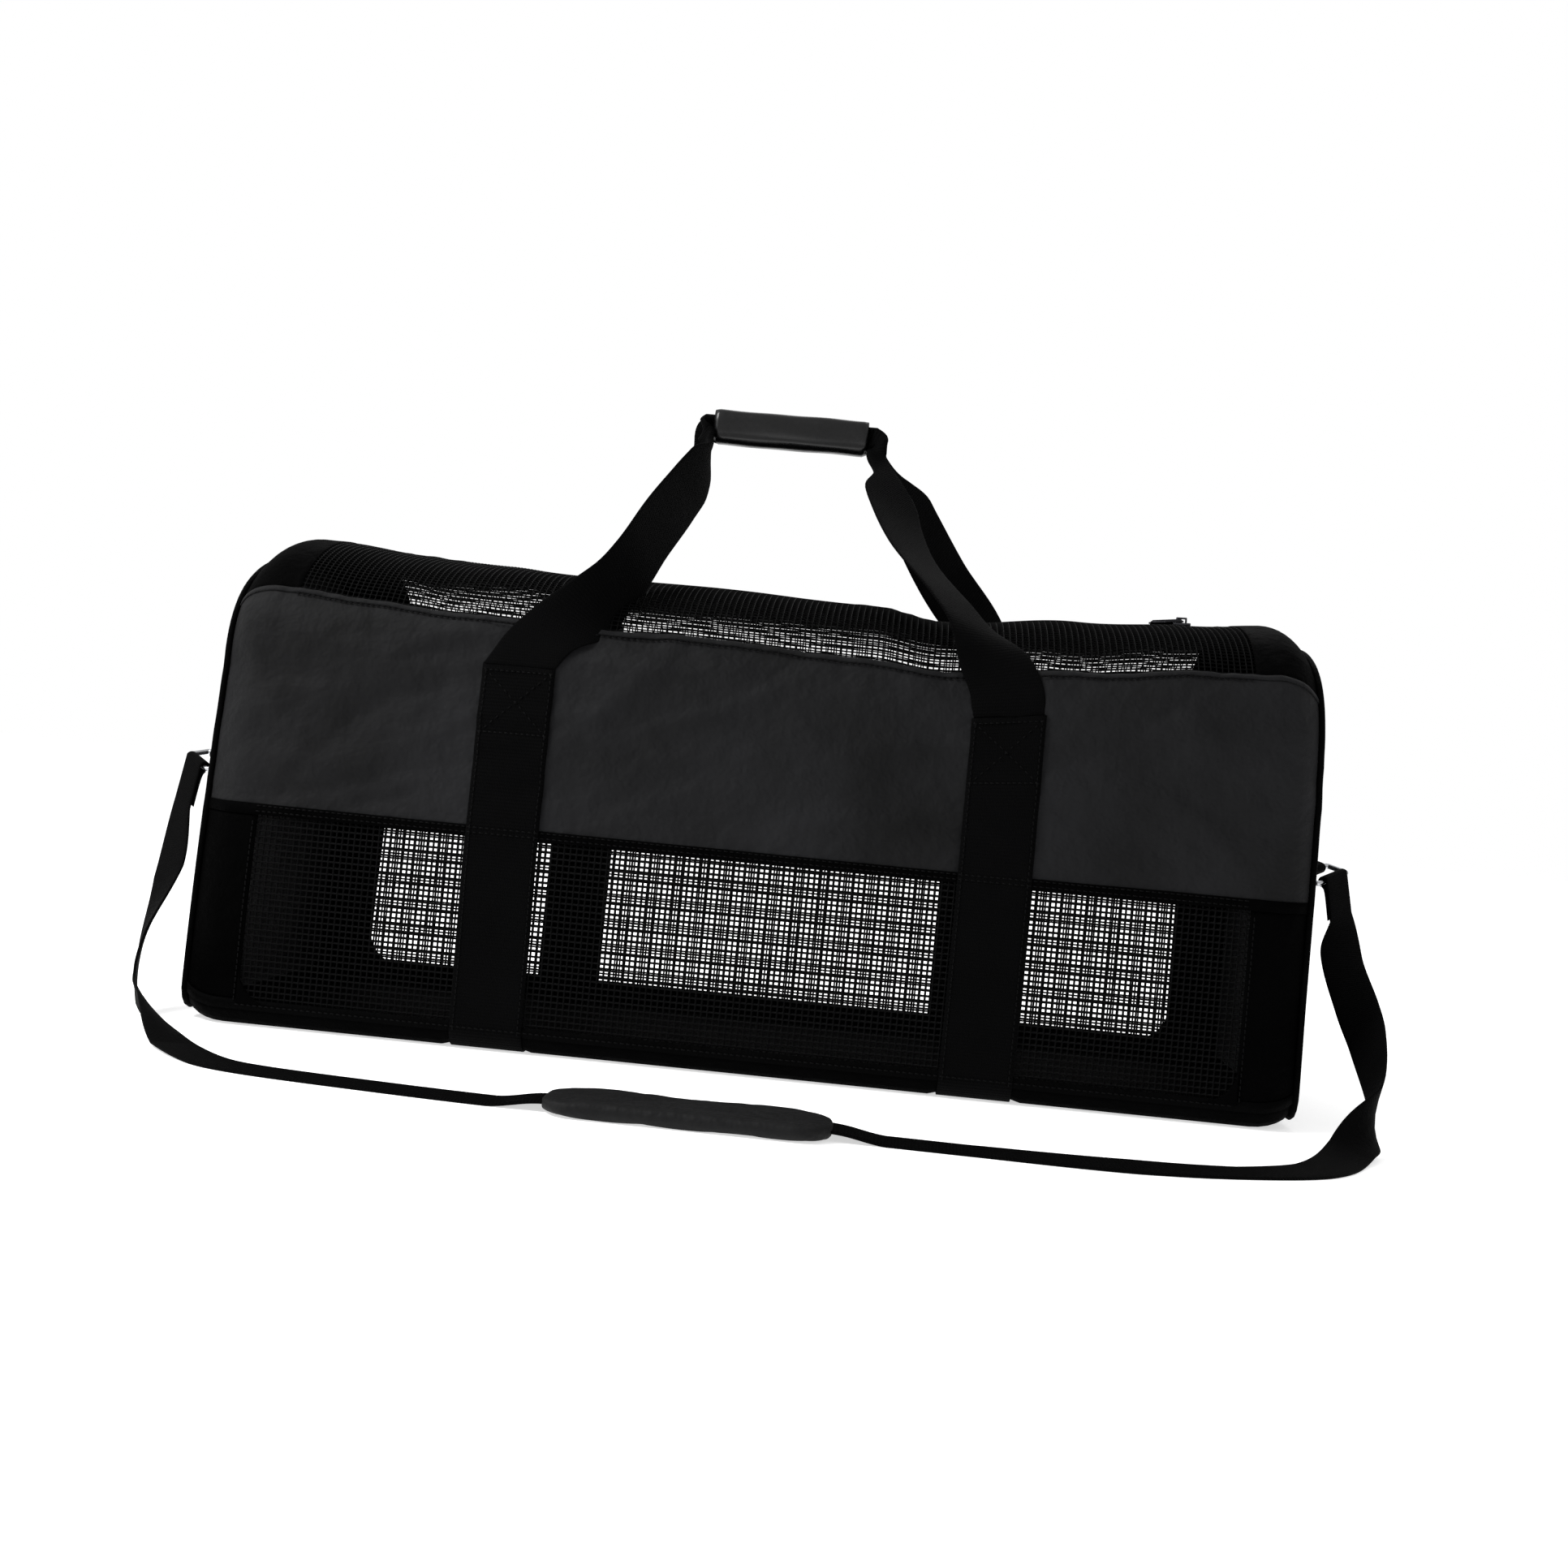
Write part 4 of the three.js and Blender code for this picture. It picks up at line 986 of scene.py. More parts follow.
@dataclass
class BagBody:
    """The cloth shell: base, walls, borders, top and ends, with the piping over the end seams."""

    skin: BagSkin
    finishes: Finishes
    cloth: float = 1.2
    piping: float = 4.4
    base_edge: float = 1.985
    border_edges: tuple[float, float] = (1.99, 2.999)
    upper_edges: tuple[float, float] = (3.001, 4.998)
    top_edge: float = 5.002
    base_pitch: float = 7.0
    wall_pitch: float = 4.5
    end_fold: float = 2.2

    def build(self) -> None:
        """Builds and dresses the whole shell."""
        skin, pitch = self.skin, self.wall_pitch
        whole = (-skin.seam_u, skin.seam_u)
        dark = self.finishes.dark_fabric
        self.sheet("base_panel", whole, (-self.base_edge, self.base_edge), self.base_pitch, dark)
        for wall in Wall:
            upper = on_side(wall.value, *self.upper_edges)
            self.sheet(f"{wall.label}_upper_panel", whole, upper, pitch, self.finishes.fabric)
            for end in End:
                us = on_side(end.value, skin.border_u, skin.seam_u)
                vs = on_side(wall.value, *self.border_edges)
                self.sheet(f"{wall.label}_border_{end.label}", us, vs, pitch, dark)
        for end in End:
            self.top_end(end, on_side(end.value, skin.top_border_u, skin.seam_u))
            self.end_panel(end)
            self.piping_loop(end)

    def sheet(
        self,
        node: str,
        us: tuple[float, float],
        vs: tuple[float, float],
        pitch: float,
        finish: bpy.types.Material,
    ) -> None:
        """Args:
            node: The CAD node that it stands for.
            us: Its span along the bag.
            vs: Its span round the section.
            pitch: The size of its faces.
            finish: Its material.
        """
        panel = ClothPanel(self.skin, f"{node}_cloth", us, vs, pitch)
        piece = panel.cloth(finish, self.cloth)
        dress(piece, "fabric", node)
        panel.flat_size()
        LOG.info("flat size of %s: %.3f x %.3f m", node, *panel.flat_size())

    def top_end(self, end: End, us: tuple[float, float]) -> None:
        """Builds the solid cloth over one end of the top, from seam to seam across the ridge.

        Args:
            end: Which end.
            us: Its span along the bag.
        """
        skin = self.skin
        low, high = skin.height(self.top_edge), skin.height(RIDGE)
        over = np.linspace(low, 2 * high - low, 57)
        v = np.where(over <= high, skin.place_at(over), 2 * RIDGE - skin.place_at(2 * high - over))
        u, v = np.meshgrid(np.linspace(*us, 15), v)
        points = skin.off(u, v, 0.0)
        weave = np.stack([u, np.broadcast_to(over[:, None], u.shape)], axis=-1)
        piece = mapped_grid(f"top_border_{end.label}_cloth", points, weave, self.finishes.dark_fabric)
        thicken(piece, self.cloth)
        dress(piece, "fabric", f"top_border_{end.label}")
        (us[1] - us[0]) * METRE

    def end_panel(self, end: End) -> None:
        """Builds one end panel, with its slack creases that run in from the corners.

        Args:
            end: Which end.
        """
        skin = self.skin
        reach = np.concatenate([
            np.linspace(skin.seam_u, skin.edge_u, 6)[:-1],
            np.linspace(skin.edge_u, skin.edge_u + skin.half_depth, 40),
        ])
        top = skin.height(RIDGE)
        around = np.linspace(-top, top, 241)
        u, h = np.meshgrid(end.value * reach, around)
        v = skin.place_at(h)
        points = skin.off(u, v, 0.0)
        inward = np.clip((np.abs(u) - skin.edge_u) / skin.half_depth, 0, 1)
        y, z = points[..., 1], points[..., 2]
        fold = np.sin(y / 31 + z / 44) * np.sin(z / 23 - y / 63)
        points[..., 0] += end.value * self.end_fold * fold * smooth(0, 0.35, inward)
        weave = np.stack([y, z], axis=-1)
        if end is End.LEFT:
            points, weave = points[:, ::-1], weave[:, ::-1]
        name = f"end_panel_{end.label}"
        piece = mapped_grid(f"{name}_cloth", points, weave, self.finishes.fabric, ring=True)
        thicken(piece, self.cloth)
        dress(piece, "fabric", name)
        rim = 2 * (skin.edge_u - skin.seam_u)
        wide = skin.depth - 2 * skin.tuck_side + rim
        tall = skin.ridge - skin.tuck_top - skin.tuck_base + rim
        wide * METRE
        tall * METRE

    def piping_loop(self, end: End) -> None:
        """Builds the round binding over the seam of one end.

        Args:
            end: Which end.
        """
        skin = self.skin
        top = skin.height(RIDGE)
        v = skin.place_at(np.linspace(-top, top, 181))
        u = np.full_like(v, end.value * skin.seam_u)
        radius = self.piping / 2
        centre = skin.off(u, v, radius * 0.75)
        out = skin.normal(u, v)
        along = unit(np.gradient(centre, axis=0))
        across = unit(np.cross(along, out))
        angle = np.linspace(0, 2 * math.pi, 13)
        ring = out[:, None] * np.cos(angle)[None, :, None] + across[:, None] * np.sin(angle)[None, :, None]
        points = centre[:, None] + ring * radius
        run = run_length(centre)
        weave = np.stack(np.meshgrid(angle * radius, run), axis=-1)
        name = f"piping_{end.label}"
        piece = mapped_grid(f"{name}_cord", points, weave, self.finishes.hem, tube=True, ring=True)
        dress(piece, "fabric", name)


@dataclass
class NetWindows:
    """The four net windows and the folded hems that hold their edges."""

    skin: BagSkin
    finishes: Finishes
    wall_edges: tuple[float, float] = (1.985, 3.01)
    top_edges: tuple[float, float] = (4.99, 7.02)
    wall_strand: float = 2.1
    top_strand: float = 1.45
    net_sink: float = 1.2
    net_lap: float = 2.0
    hem: float = 7.0
    hem_stand: float = 0.9
    corner_radius: float = 26.0
    corner_thickness: float = 1.0

    def build(self) -> None:
        """Builds and dresses the nets and their hems."""
        skin = self.skin
        for wall in Wall:
            for name, reach, edges, strand in (
                (f"{wall.label}_net", skin.border_u, self.wall_edges, self.wall_strand),
                (f"top_net_{wall.label}", skin.top_border_u, self.top_edges, self.top_strand),
            ):
                us = (-reach - self.net_lap, reach + self.net_lap)
                vs = on_side(wall.value, *edges)
                net = NetPanel(skin, f"{name}_strands", us, vs, offset=-self.net_sink, strand=strand)
                dress(net.net(self.finishes.net), "net", name)
            self.hems(wall, skin.seam_u - 1.5)
            for end in End:
                self.corner(wall, end)

    def corner(self, wall: Wall, end: End) -> None:
        """Builds the cloth that rounds off one lower corner of a wall's net window.

        Args:
            wall: Which wall.
            end: Which end.
        """
        skin = self.skin
        low = skin.height(WALL_FOOT) - 1.0
        reach = skin.border_u + 1.0
        angle = np.linspace(0, math.pi / 2, 17)
        radius = self.corner_radius
        centre = np.array([reach - radius, low + radius])
        arc = centre + radius * np.stack([np.cos(angle), -np.sin(angle)], axis=-1)
        slope = np.tan(np.minimum(angle, math.pi / 2 - angle))
        steep = angle <= math.pi / 4
        box = np.stack([np.where(steep, 1.0, slope), -np.where(steep, slope, 1.0)], axis=-1)
        edge = centre + radius * box
        share = np.linspace(0, 1, 6)[:, None, None]
        flat = arc[None] * (1 - share) + edge[None] * share
        u, h = end.value * flat[..., 0], wall.value * flat[..., 1]
        if end.value * wall.value > 0:
            u, h = u[:, ::-1], h[:, ::-1]
        points = skin.off(u, skin.place_at(h), 0.25)
        name = f"window_corner_{wall.label}_{end.label}"
        piece = mapped_grid(name, points, np.stack([u, h], axis=-1), self.finishes.dark_fabric)
        thicken(piece, self.corner_thickness)
        dress(piece, "fabric")

    def hems(self, wall: Wall, seam: float) -> None:
        """Builds the folded edges over the long seams of one wall.

        Args:
            wall: Which wall.
            seam: How far along they run to each end.
        """
        height = self.skin.height
        slim = 0.55 * self.hem
        rows = (
            ("window_head", height(3.0) - 1.0, self.hem, self.finishes.dark_fabric),
            ("window_sill", height(WALL_FOOT) - self.hem + 2.0, self.hem, self.finishes.hem),
            ("top_foot", height(5.0) - slim + 1.5, slim, self.finishes.fabric),
        )
        for label, low, width, finish in rows:
            vs = self.skin.span(wall, low, low + width)
            name = f"hem_{label}_{wall.label}"
            strip = ClothPanel(self.skin, name, (-seam, seam), vs, 3.5, self.hem_stand)
            dress(strip.cloth(finish, self.hem_stand), "fabric")


@dataclass
class Stations:
    """Rows of points along a strap with its width's direction, width and thickness there."""

    points: Array
    across: Array
    widths: Array
    thicknesses: Array

    def band(self, name: str, finish: bpy.types.Material) -> bpy.types.Object:
        """Builds the strap as one closed band with rounded edges.

        Args:
            name: The piece's name.
            finish: The material.

        Returns:
            The piece.
        """
        along = unit(np.gradient(self.points, axis=0))
        across = unit(self.across)
        face = unit(np.cross(along, across))
        side = np.array([-1, -0.985, -0.93, -0.6, -0.2, 0.2, 0.6, 0.93, 0.985, 1])
        edge = np.array([0, 0.62, 1, 1, 1, 1, 1, 1, 0.62, 0])
        w = np.concatenate([side, side[::-1][1:]])
        t = np.concatenate([edge, -edge[::-1][1:]])
        points = (
            self.points[:, None]
            + across[:, None] * (w[None, :, None] * self.widths[:, None, None] / 2)
            + face[:, None] * (t[None, :, None] * self.thicknesses[:, None, None] / 2)
        )
        run = run_length(self.points)
        weave = np.stack(np.broadcast_arrays(w[None, :] * self.widths[:, None] / 2, run[:, None]), axis=-1)
        return mapped_grid(name, points, weave, finish, tube=True, capped=True)


@dataclass
class Handles:
    """The webbing sewn round the bag, the two free handles and the wrap that holds them together."""

    skin: BagSkin
    finishes: Finishes
    thickness: float = 1.8
    grip_length: float = 118.0
    grip_shift: float = -9.0
    grip_height: float = 471.0
    grip_half_depth: float = 8.8
    grip_half_rise: float = 13.0
    wrap_thickness: float = 1.6
    wrap_lap: float = 0.9
    wrap_slack: float = 0.35
    fold_width: float = 19.0
    fold_thickness: float = 4.4
    fold_place: float = 2.55
    rear_bow: dict[End, float] = field(default_factory=lambda: {End.LEFT: 60.0, End.RIGHT: 32.0})
    flat_share: dict[End, float] = field(default_factory=lambda: {End.LEFT: 0.4, End.RIGHT: 0.7})
    tuck_in: dict[End, float] = field(default_factory=lambda: {End.LEFT: 8.0, End.RIGHT: -2.5})
    fold_start: dict[End, float] = field(default_factory=lambda: {End.LEFT: 0.77, End.RIGHT: 0.74})
    leg_stand: float = 1.2
    # One leg from its crease to the grip: shares of its run along the bag at the left and at the right, of
    # its run back and up, and of its turn.
    leg: tuple[tuple[float, ...], ...] = (
        (0.0, 0.0, 0.0, 0.0, 0.0),
        (0.1, 0.04, 0.01, 0.09, 0.02),
        (0.4, 0.18, 0.06, 0.22, 0.06),
        (0.58, 0.4, 0.2, 0.37, 0.1),
        (0.7, 0.67, 0.42, 0.54, 0.15),
        (0.84, 0.81, 0.66, 0.7, 0.2),
        (0.97, 0.88, 0.84, 0.84, 0.3),
        (0.97, 0.96, 0.94, 0.93, 0.55),
        (0.95, 0.95, 0.98, 0.98, 0.9),
        (1.0, 1.0, 1.0, 1.0, 1.0),
    )

    def build(self) -> None:
        """Builds and dresses the webbing, the handles and the wrap."""
        for end in End:
            self.sewn(end)
        for wall in Wall:
            left, right = self.leg_stations(End.LEFT, wall), self.leg_stations(End.RIGHT, wall)
            whole = Stations(
                np.vstack([left.points, right.points[::-1]]),
                np.vstack([left.across, right.across[::-1]]),
                np.concatenate([left.widths, right.widths[::-1]]),
                np.concatenate([left.thicknesses, right.thicknesses[::-1]]),
            )
            name = f"handle_{wall.label}"
            band = whole.band(f"{name}_webbing", self.finishes.webbing)
            dress(band, "webbing", name)
        self.wrap()

    def sewn(self, end: End) -> None:
        """Builds the webbing that is sewn up both walls and runs under the base.

        Args:
            end: Which side.
        """
        half = self.skin.webbing_width / 2
        place = end.value * self.skin.webbing_place
        crease = self.skin.crease_v
        name = f"sewn_webbing_{end.label}"
        strip = ClothPanel(
            self.skin, f"{name}_band", (place - half, place + half), (-crease, crease), 4.0, 2.0
        )
        points, weave = strip.grid()
        weave[..., 0] -= place
        piece = mapped_grid(strip.name, points, weave, self.finishes.webbing)
        thicken(piece, self.thickness)
        dress(piece, "webbing", name)

    def leg_stations(self, end: End, wall: Wall) -> Stations:
        """One handle leg from its crease to the grip.

        Args:
            end: Which side.
            wall: Which wall.

        Returns:
            The leg's rows.
        """
        side, way = end.value, -wall.value
        skin = self.skin
        v = -way * skin.crease_v
        half = skin.webbing_width / 2
        foot, inner, outer = (
            skin.off(side * place, v, self.leg_stand)
            for place in (skin.webbing_place, skin.webbing_place - half, skin.webbing_place + half)
        )
        crease = unit(inner - outer)
        head = np.array([
            self.grip_shift + side * (self.grip_length / 2 + self.fold_place),
            way * self.fold_place,
            self.grip_height,
        ])
        bow = 0.0 if way < 0 else self.rear_bow[end]
        rows = np.array(self.leg)
        run = rows[:, 0] if end is End.LEFT else rows[:, 1]
        shares = np.stack([run, rows[:, 2], rows[:, 3]], axis=-1)
        points = foot + (head - foot) * shares
        points[:, 0] += side * bow * np.sin(math.pi * rows[:, 3] ** 0.8) ** 1.3
        points[:, 0] -= side * self.tuck_in[end] * np.sin(math.pi * rows[:, 3]) ** 0.7
        places = np.linspace(0, len(rows) - 1, 9 * (len(rows) - 1) + 1)
        up, turn = (self.eased(rows[:, column], places) for column in (3, 4))
        fold = smooth(self.fold_start[end], self.fold_start[end] + 0.15, up)
        fold = fold * (1.12 - 0.12 * smooth(0.95, 1.0, up))
        twist = smooth(0.04, 0.3, up) * (1 - smooth(0.93, 1.0, up)) * math.acos(self.flat_share[end])
        lean = crease[2] * (1 - np.clip(up, 0, 1)) ** 4 - turn
        across = unit(np.stack([-side * (1 - turn), np.zeros_like(turn), lean], axis=-1))
        run_points = curve_through(points, places)
        along = unit(np.gradient(run_points, axis=0))
        square = unit(across - along * np.sum(across * along, axis=1, keepdims=True))
        facing = np.cross(along, square)
        square = square * np.cos(twist)[:, None] + facing * np.sin(twist)[:, None]
        straight = (1 - smooth(0.0, 0.34, up))[:, None]
        return Stations(
            run_points,
            unit(square * (1 - straight) + crease * straight),
            skin.webbing_width + (self.fold_width - skin.webbing_width) * fold,
            self.thickness + (self.fold_thickness - self.thickness) * fold,
        )

    @staticmethod
    def eased(column: Array, places: Array) -> Array:
        """A column of the leg's table, rounded at its rows.

        Args:
            column: The column.
            places: Where to read it.

        Returns:
            One value for each place.
        """
        values = np.interp(places, np.arange(len(column)), column)
        kernel = np.array([1, 2, 3, 4, 3, 2, 1]) / 16
        padded = np.concatenate([np.full(3, values[0]), values, np.full(3, values[-1])])
        return np.convolve(padded, kernel, mode="valid")

    def wrap(self) -> None:
        """Builds the wrap: a clean-cut tube with a lapped edge along its lower back."""
        x = np.linspace(-self.grip_length / 2, self.grip_length / 2, 33)
        angle = np.linspace(0, 2 * math.pi, 65)
        grid_x, grid_a = np.meshgrid(x, angle, indexing="ij")
        circle = np.stack([np.cos(grid_a), np.sin(grid_a)])
        rounded = np.sign(circle) * np.abs(circle) ** (2 / 2.7)
        lap = self.wrap_lap * smooth(3.6, 3.68, grid_a) * (1 - smooth(5.6, 5.9, grid_a))
        slack = self.wrap_slack * np.sin(grid_x / 9 + 2 * np.sin(grid_a)) * np.sin(grid_a * 2 + grid_x / 27)
        ends = smooth(0, 3.0, self.grip_length / 2 - np.abs(grid_x))
        swell = (lap + slack) * ends - 0.6 * (1 - ends)
        points = np.stack([
            self.grip_shift + grid_x,
            rounded[0] * (self.grip_half_depth + swell),
            self.grip_height + rounded[1] * (self.grip_half_rise + swell),
        ], axis=-1)
        weave = np.stack([grid_x, grid_a * self.grip_half_rise], axis=-1)
        piece = mapped_grid("grip_wrap_cloth", points, weave, self.finishes.grip, tube=True)
        thicken(piece, self.wrap_thickness)
        dress(piece, "grip", "grip_wrap")


@dataclass
class Zipper:
    """The zipper along the ridge: two tapes, the coil, the slider and its pull."""

    skin: BagSkin
    finishes: Finishes
    tape_width: float = 19.0
    coil_half: float = 3.0
    pitch: float = 2.6
    slider_place: float = 303.0
    slider_length: float = 13.0
    slider_width: float = 9.0
    pull_length: float = 26.0
    pull_width: float = 8.0

    def build(self) -> None:
        """Builds and dresses the zipper."""
        reach = self.skin.top_border_u + 1
        ridge = self.skin.height(RIDGE)
        for wall in Wall:
            vs = self.skin.span(wall, ridge - self.tape_width, ridge - self.coil_half + 0.4)
            name = f"zipper_tape_{wall.label}"
            tape = ClothPanel(self.skin, f"{name}_cloth", (-reach, reach), vs, 4.0, 0.2)
            dress(tape.cloth(self.finishes.hem, 1.0), "webbing", name)
        self.coil(reach)
        self.slider()
        self.pull()

    def ridge_frame(self, x: float) -> Matrix:
        """A frame on the ridge: X along it, Z up off it.

        Args:
            x: The place along the bag.

        Returns:
            The frame, in metres.
        """
        here = self.skin.off(x, RIDGE, 0.0)
        ahead = self.skin.off(x + 4, RIDGE, 0.0)
        along = Vector(ahead - here).normalized()
        back = Vector((0, 1, 0))
        return frame_at(along, back, back.cross(along) * -1, Vector(here * METRE))

    def coil(self, reach: float) -> None:
        """Builds the coil: a row of slanted teeth on each side of the ridge.

        Args:
            reach: Half the coil's length.
        """
        work = bmesh.new()
        count = int(2 * reach / self.pitch)
        for tooth_number in range(count):
            frame = self.ridge_frame(-reach + (tooth_number + 0.5) * self.pitch)
            for side in (-1, 1):
                place = Matrix.Translation((side * 0.0004, side * 0.0014, 0.0005))
                turn = Matrix.Rotation(side * 0.28, 4, "Z")
                tooth = block((0.0014, 0.0034, 0.0018))
                bmesh.ops.create_cube(work, size=1.0, matrix=frame @ place @ turn @ tooth)
        dress(as_object("zipper_coil_teeth", work, self.finishes.coil), "coil", "zipper_coil")

    def slider(self) -> None:
        """Builds the slider with its bridge."""
        frame = self.ridge_frame(self.slider_place)
        work = bmesh.new()
        parts = (
            ((0, 0, 0.0026), (self.slider_length, self.slider_width, 2.2)),
            ((0, 0, 0.0074), (8.0, 3.0, 1.3)),
            ((-0.0034, 0, 0.0054), (1.3, 3.0, 4.0)),
            ((0.0034, 0, 0.0054), (1.3, 3.0, 4.0)),
        )
        for centre, size in parts:
            shape = frame @ Matrix.Translation(centre) @ block([s * METRE for s in size])
            bmesh.ops.create_cube(work, size=1.0, matrix=shape)
        bevel(work, work.edges[:], 0.0005, 2)
        self.metal("zipper_slider_body", work, "zipper_slider")

    def pull(self) -> None:
        """Builds the pull plate that lies along the ridge, with its rounded corners and sunk faces."""
        work = bmesh.new()
        lying = self.ridge_frame(self.slider_place + 0.7 - self.pull_length / 2)
        lying = lying @ Matrix.Translation((0, 0, 0.0036)) @ Matrix.Rotation(-0.1, 4, "Y")
        size = block((self.pull_length * METRE, self.pull_width * METRE, 0.0012))
        bmesh.ops.create_cube(work, size=1.0, matrix=lying @ size)
        bevel(work, upright(work, 0.0009), 0.0024, 4)
        lids = [face for face in work.faces if len(face.verts) > 4]
        bmesh.ops.inset_region(work, faces=lids, thickness=0.0012, depth=-0.0002)
        self.metal("zipper_pull_plate", work, "zipper_pull")

    def metal(self, name: str, work: bmesh.types.BMesh, node: str) -> None:
        """Turns a finished bmesh into a steel piece.

        Args:
            name: The piece's name.
            work: The shape, freed here.
            node: The CAD node that it stands for.
        """
        bmesh.ops.recalc_face_normals(work, faces=work.faces[:])
        dress(as_object(name, work, self.finishes.dark_steel), "steel", node)


@dataclass(frozen=True)
class RingPlace:
    """Where one ring's outer bar hangs: its reach past the end, its step to the front and down."""

    end: End
    reach: float
    forward: float
    drop: float


@dataclass
class ShoulderStrap:
    """The ring, tab and strap half at each end, and the pad between them."""

    skin: BagSkin
    finishes: Finishes
    ring_height: float = 176.0
    wire: float = 4.4
    ring_width: float = 36.0
    ring_depth: float = 18.0
    ring_corner: float = 3.2
    ring_turn: float = 42.0
    ring_tilt: float = 14.0
    approach: float = 46.0
    tab_width: float = 27.0
    tab_thickness: float = 1.6
    width: float = 30.0
    thickness: float = 2.0
    tail: float = 42.0
    pad_length: float = 170.0
    pad_width: float = 62.0
    pad_thickness: float = 11.0
    pad_slack: float = 0.82
    pad_swell: float = 1.1
    pad_wrinkles: int = 26
    pad_place: float = -6.5
    pad_out: float = 2.118
    # The strap from the pad to each ring: shares of the half length, the half depth and the ring height, and
    # the direction of its width there.
    left_run: tuple[tuple[float, ...], ...] = (
        (-0.31, -2.118, 0.0, 0.0, 1.0, 0.0),
        (-0.48, -2.08, 0.0, 0.1, 1.0, 0.0),
        (-0.702, -1.994, 0.0, 0.3, 0.95, 0.0),
        (-0.768, -1.918, 0.0, 0.5, 0.85, 0.0),
        (-0.866, -1.66, 0.0, 0.05, 0.95, -0.03),
        (-0.977, -1.23, 0.004, -0.28, 0.93, -0.14),
        (-1.05, -0.97, 0.09, -0.36, 0.93, -0.15),
        (-1.08, -0.765, 0.244, -0.36, 0.93, -0.12),
        (-1.086, -0.5, 0.523, -0.7, 0.7, 0.15),
    )
    right_run: tuple[tuple[float, ...], ...] = (
        (0.276, -2.112, 0.0, 0.0, 1.0, 0.0),
        (0.397, -2.118, 0.0, 0.0, 1.0, 0.0),
        (0.636, -2.12, 0.0, -0.1, 1.0, 0.05),
        (0.815, -1.99, 0.0, -0.35, 0.9, 0.0),
        (0.93, -1.82, 0.0, -0.6, 0.78, 0.05),
        (1.016, -1.47, 0.02, -0.85, 0.45, 0.2),
        (1.075, -1.206, 0.1, 0.0, -0.6, 0.8),
        (1.091, -0.853, 0.307, 0.62, -0.5, 0.6),
        (1.086, -0.676, 0.443, 0.85, -0.3, 0.3),
        (1.074, -0.44, 0.653, 1.0, 0.0, 0.0),
    )

    def build(self) -> None:
        """Builds and dresses the rings, tabs, strap halves and the pad."""
        places = (RingPlace(End.LEFT, 48.0, 8.0, 0.0), RingPlace(End.RIGHT, 33.0, 10.0, 6.0))
        for place, rows in zip(places, (self.left_run, self.right_run)):
            outer_bar, bar, depth, flat = self.ring_frame(place)
            self.ring(place.end, outer_bar, bar, depth, flat)
            self.tab(place.end, outer_bar, bar, depth, flat)
            self.strap(place.end, np.array(rows), outer_bar, bar)
        self.pad()

    def ring_frame(self, place: RingPlace) -> tuple[Array, Array, Array, Array]:
        """A ring's outer bar and directions.

        Args:
            place: Where the ring hangs.

        Returns:
            The bar's middle, its direction, the ring's depth and the direction square to both.
        """
        side = place.end.value
        turn, tilt = math.radians(self.ring_turn), math.radians(self.ring_tilt)
        height = self.ring_height - place.drop
        outer_bar = np.array([side * (self.skin.half + place.reach), -place.forward, height])
        bar = unit(np.array([side * math.sin(turn), math.cos(turn), math.tan(tilt)]))
        depth = np.array([side * math.cos(turn), -math.sin(turn), -math.tan(tilt)])
        depth = unit(depth - bar * depth.dot(bar))
        return outer_bar, bar, depth, unit(np.cross(bar, depth)) * side

    def ring(self, end: End, outer_bar: Array, bar: Array, depth: Array, flat: Array) -> None:
        """Builds the rectangular wire ring.

        Args:
            end: Which end.
            outer_bar: Its outer bar's middle.
            bar: The bars' direction.
            depth: The ring's depth direction.
            flat: The direction square to the ring.
        """
        centre = outer_bar - depth * self.ring_depth / 2
        half_bar = (self.ring_width + self.wire) / 2 - self.ring_corner
        half_depth = self.ring_depth / 2 - self.ring_corner
        middles, outs = [], []
        for quarter, (along_bar, along_depth) in enumerate(((1, 1), (-1, 1), (-1, -1), (1, -1))):
            for part in np.linspace(0, math.pi / 2, 8):
                angle = part + quarter * math.pi / 2
                out = bar * math.cos(angle) + depth * math.sin(angle)
                outs.append(out)
                corner = bar * along_bar * half_bar + depth * along_depth * half_depth
                middles.append(centre + corner + out * self.ring_corner)
        middles.append(middles[0])
        outs.append(outs[0])
        around = np.linspace(0, 2 * math.pi, 17)
        outs_array, middles_array = np.array(outs), np.array(middles)
        points = middles_array[:, None] + self.wire / 2 * (
            outs_array[:, None] * np.cos(around)[None, :, None] + flat * np.sin(around)[None, :, None]
        )
        weave = np.stack(np.meshgrid(around, run_length(middles_array)), axis=-1)
        name = f"ring_{end.label}"
        piece = mapped_grid(f"{name}_wire", points, weave, self.finishes.steel, tube=True, ring=True)
        dress(piece, "steel", name)

    @staticmethod
    def half_turn(centre: Array, radius: float, start: Array, middle: Array, parts: int) -> Array:
        """Points of a half turn round a bar.

        Args:
            centre: The bar's middle.
            radius: The turn's radius.
            start: The direction of its first point.
            middle: The direction of its middle point.
            parts: How many parts it has.

        Returns:
            The points.
        """
        angle = np.linspace(0, math.pi, parts + 1)[:, None]
        return centre + radius * (start * np.cos(angle) + middle * np.sin(angle))

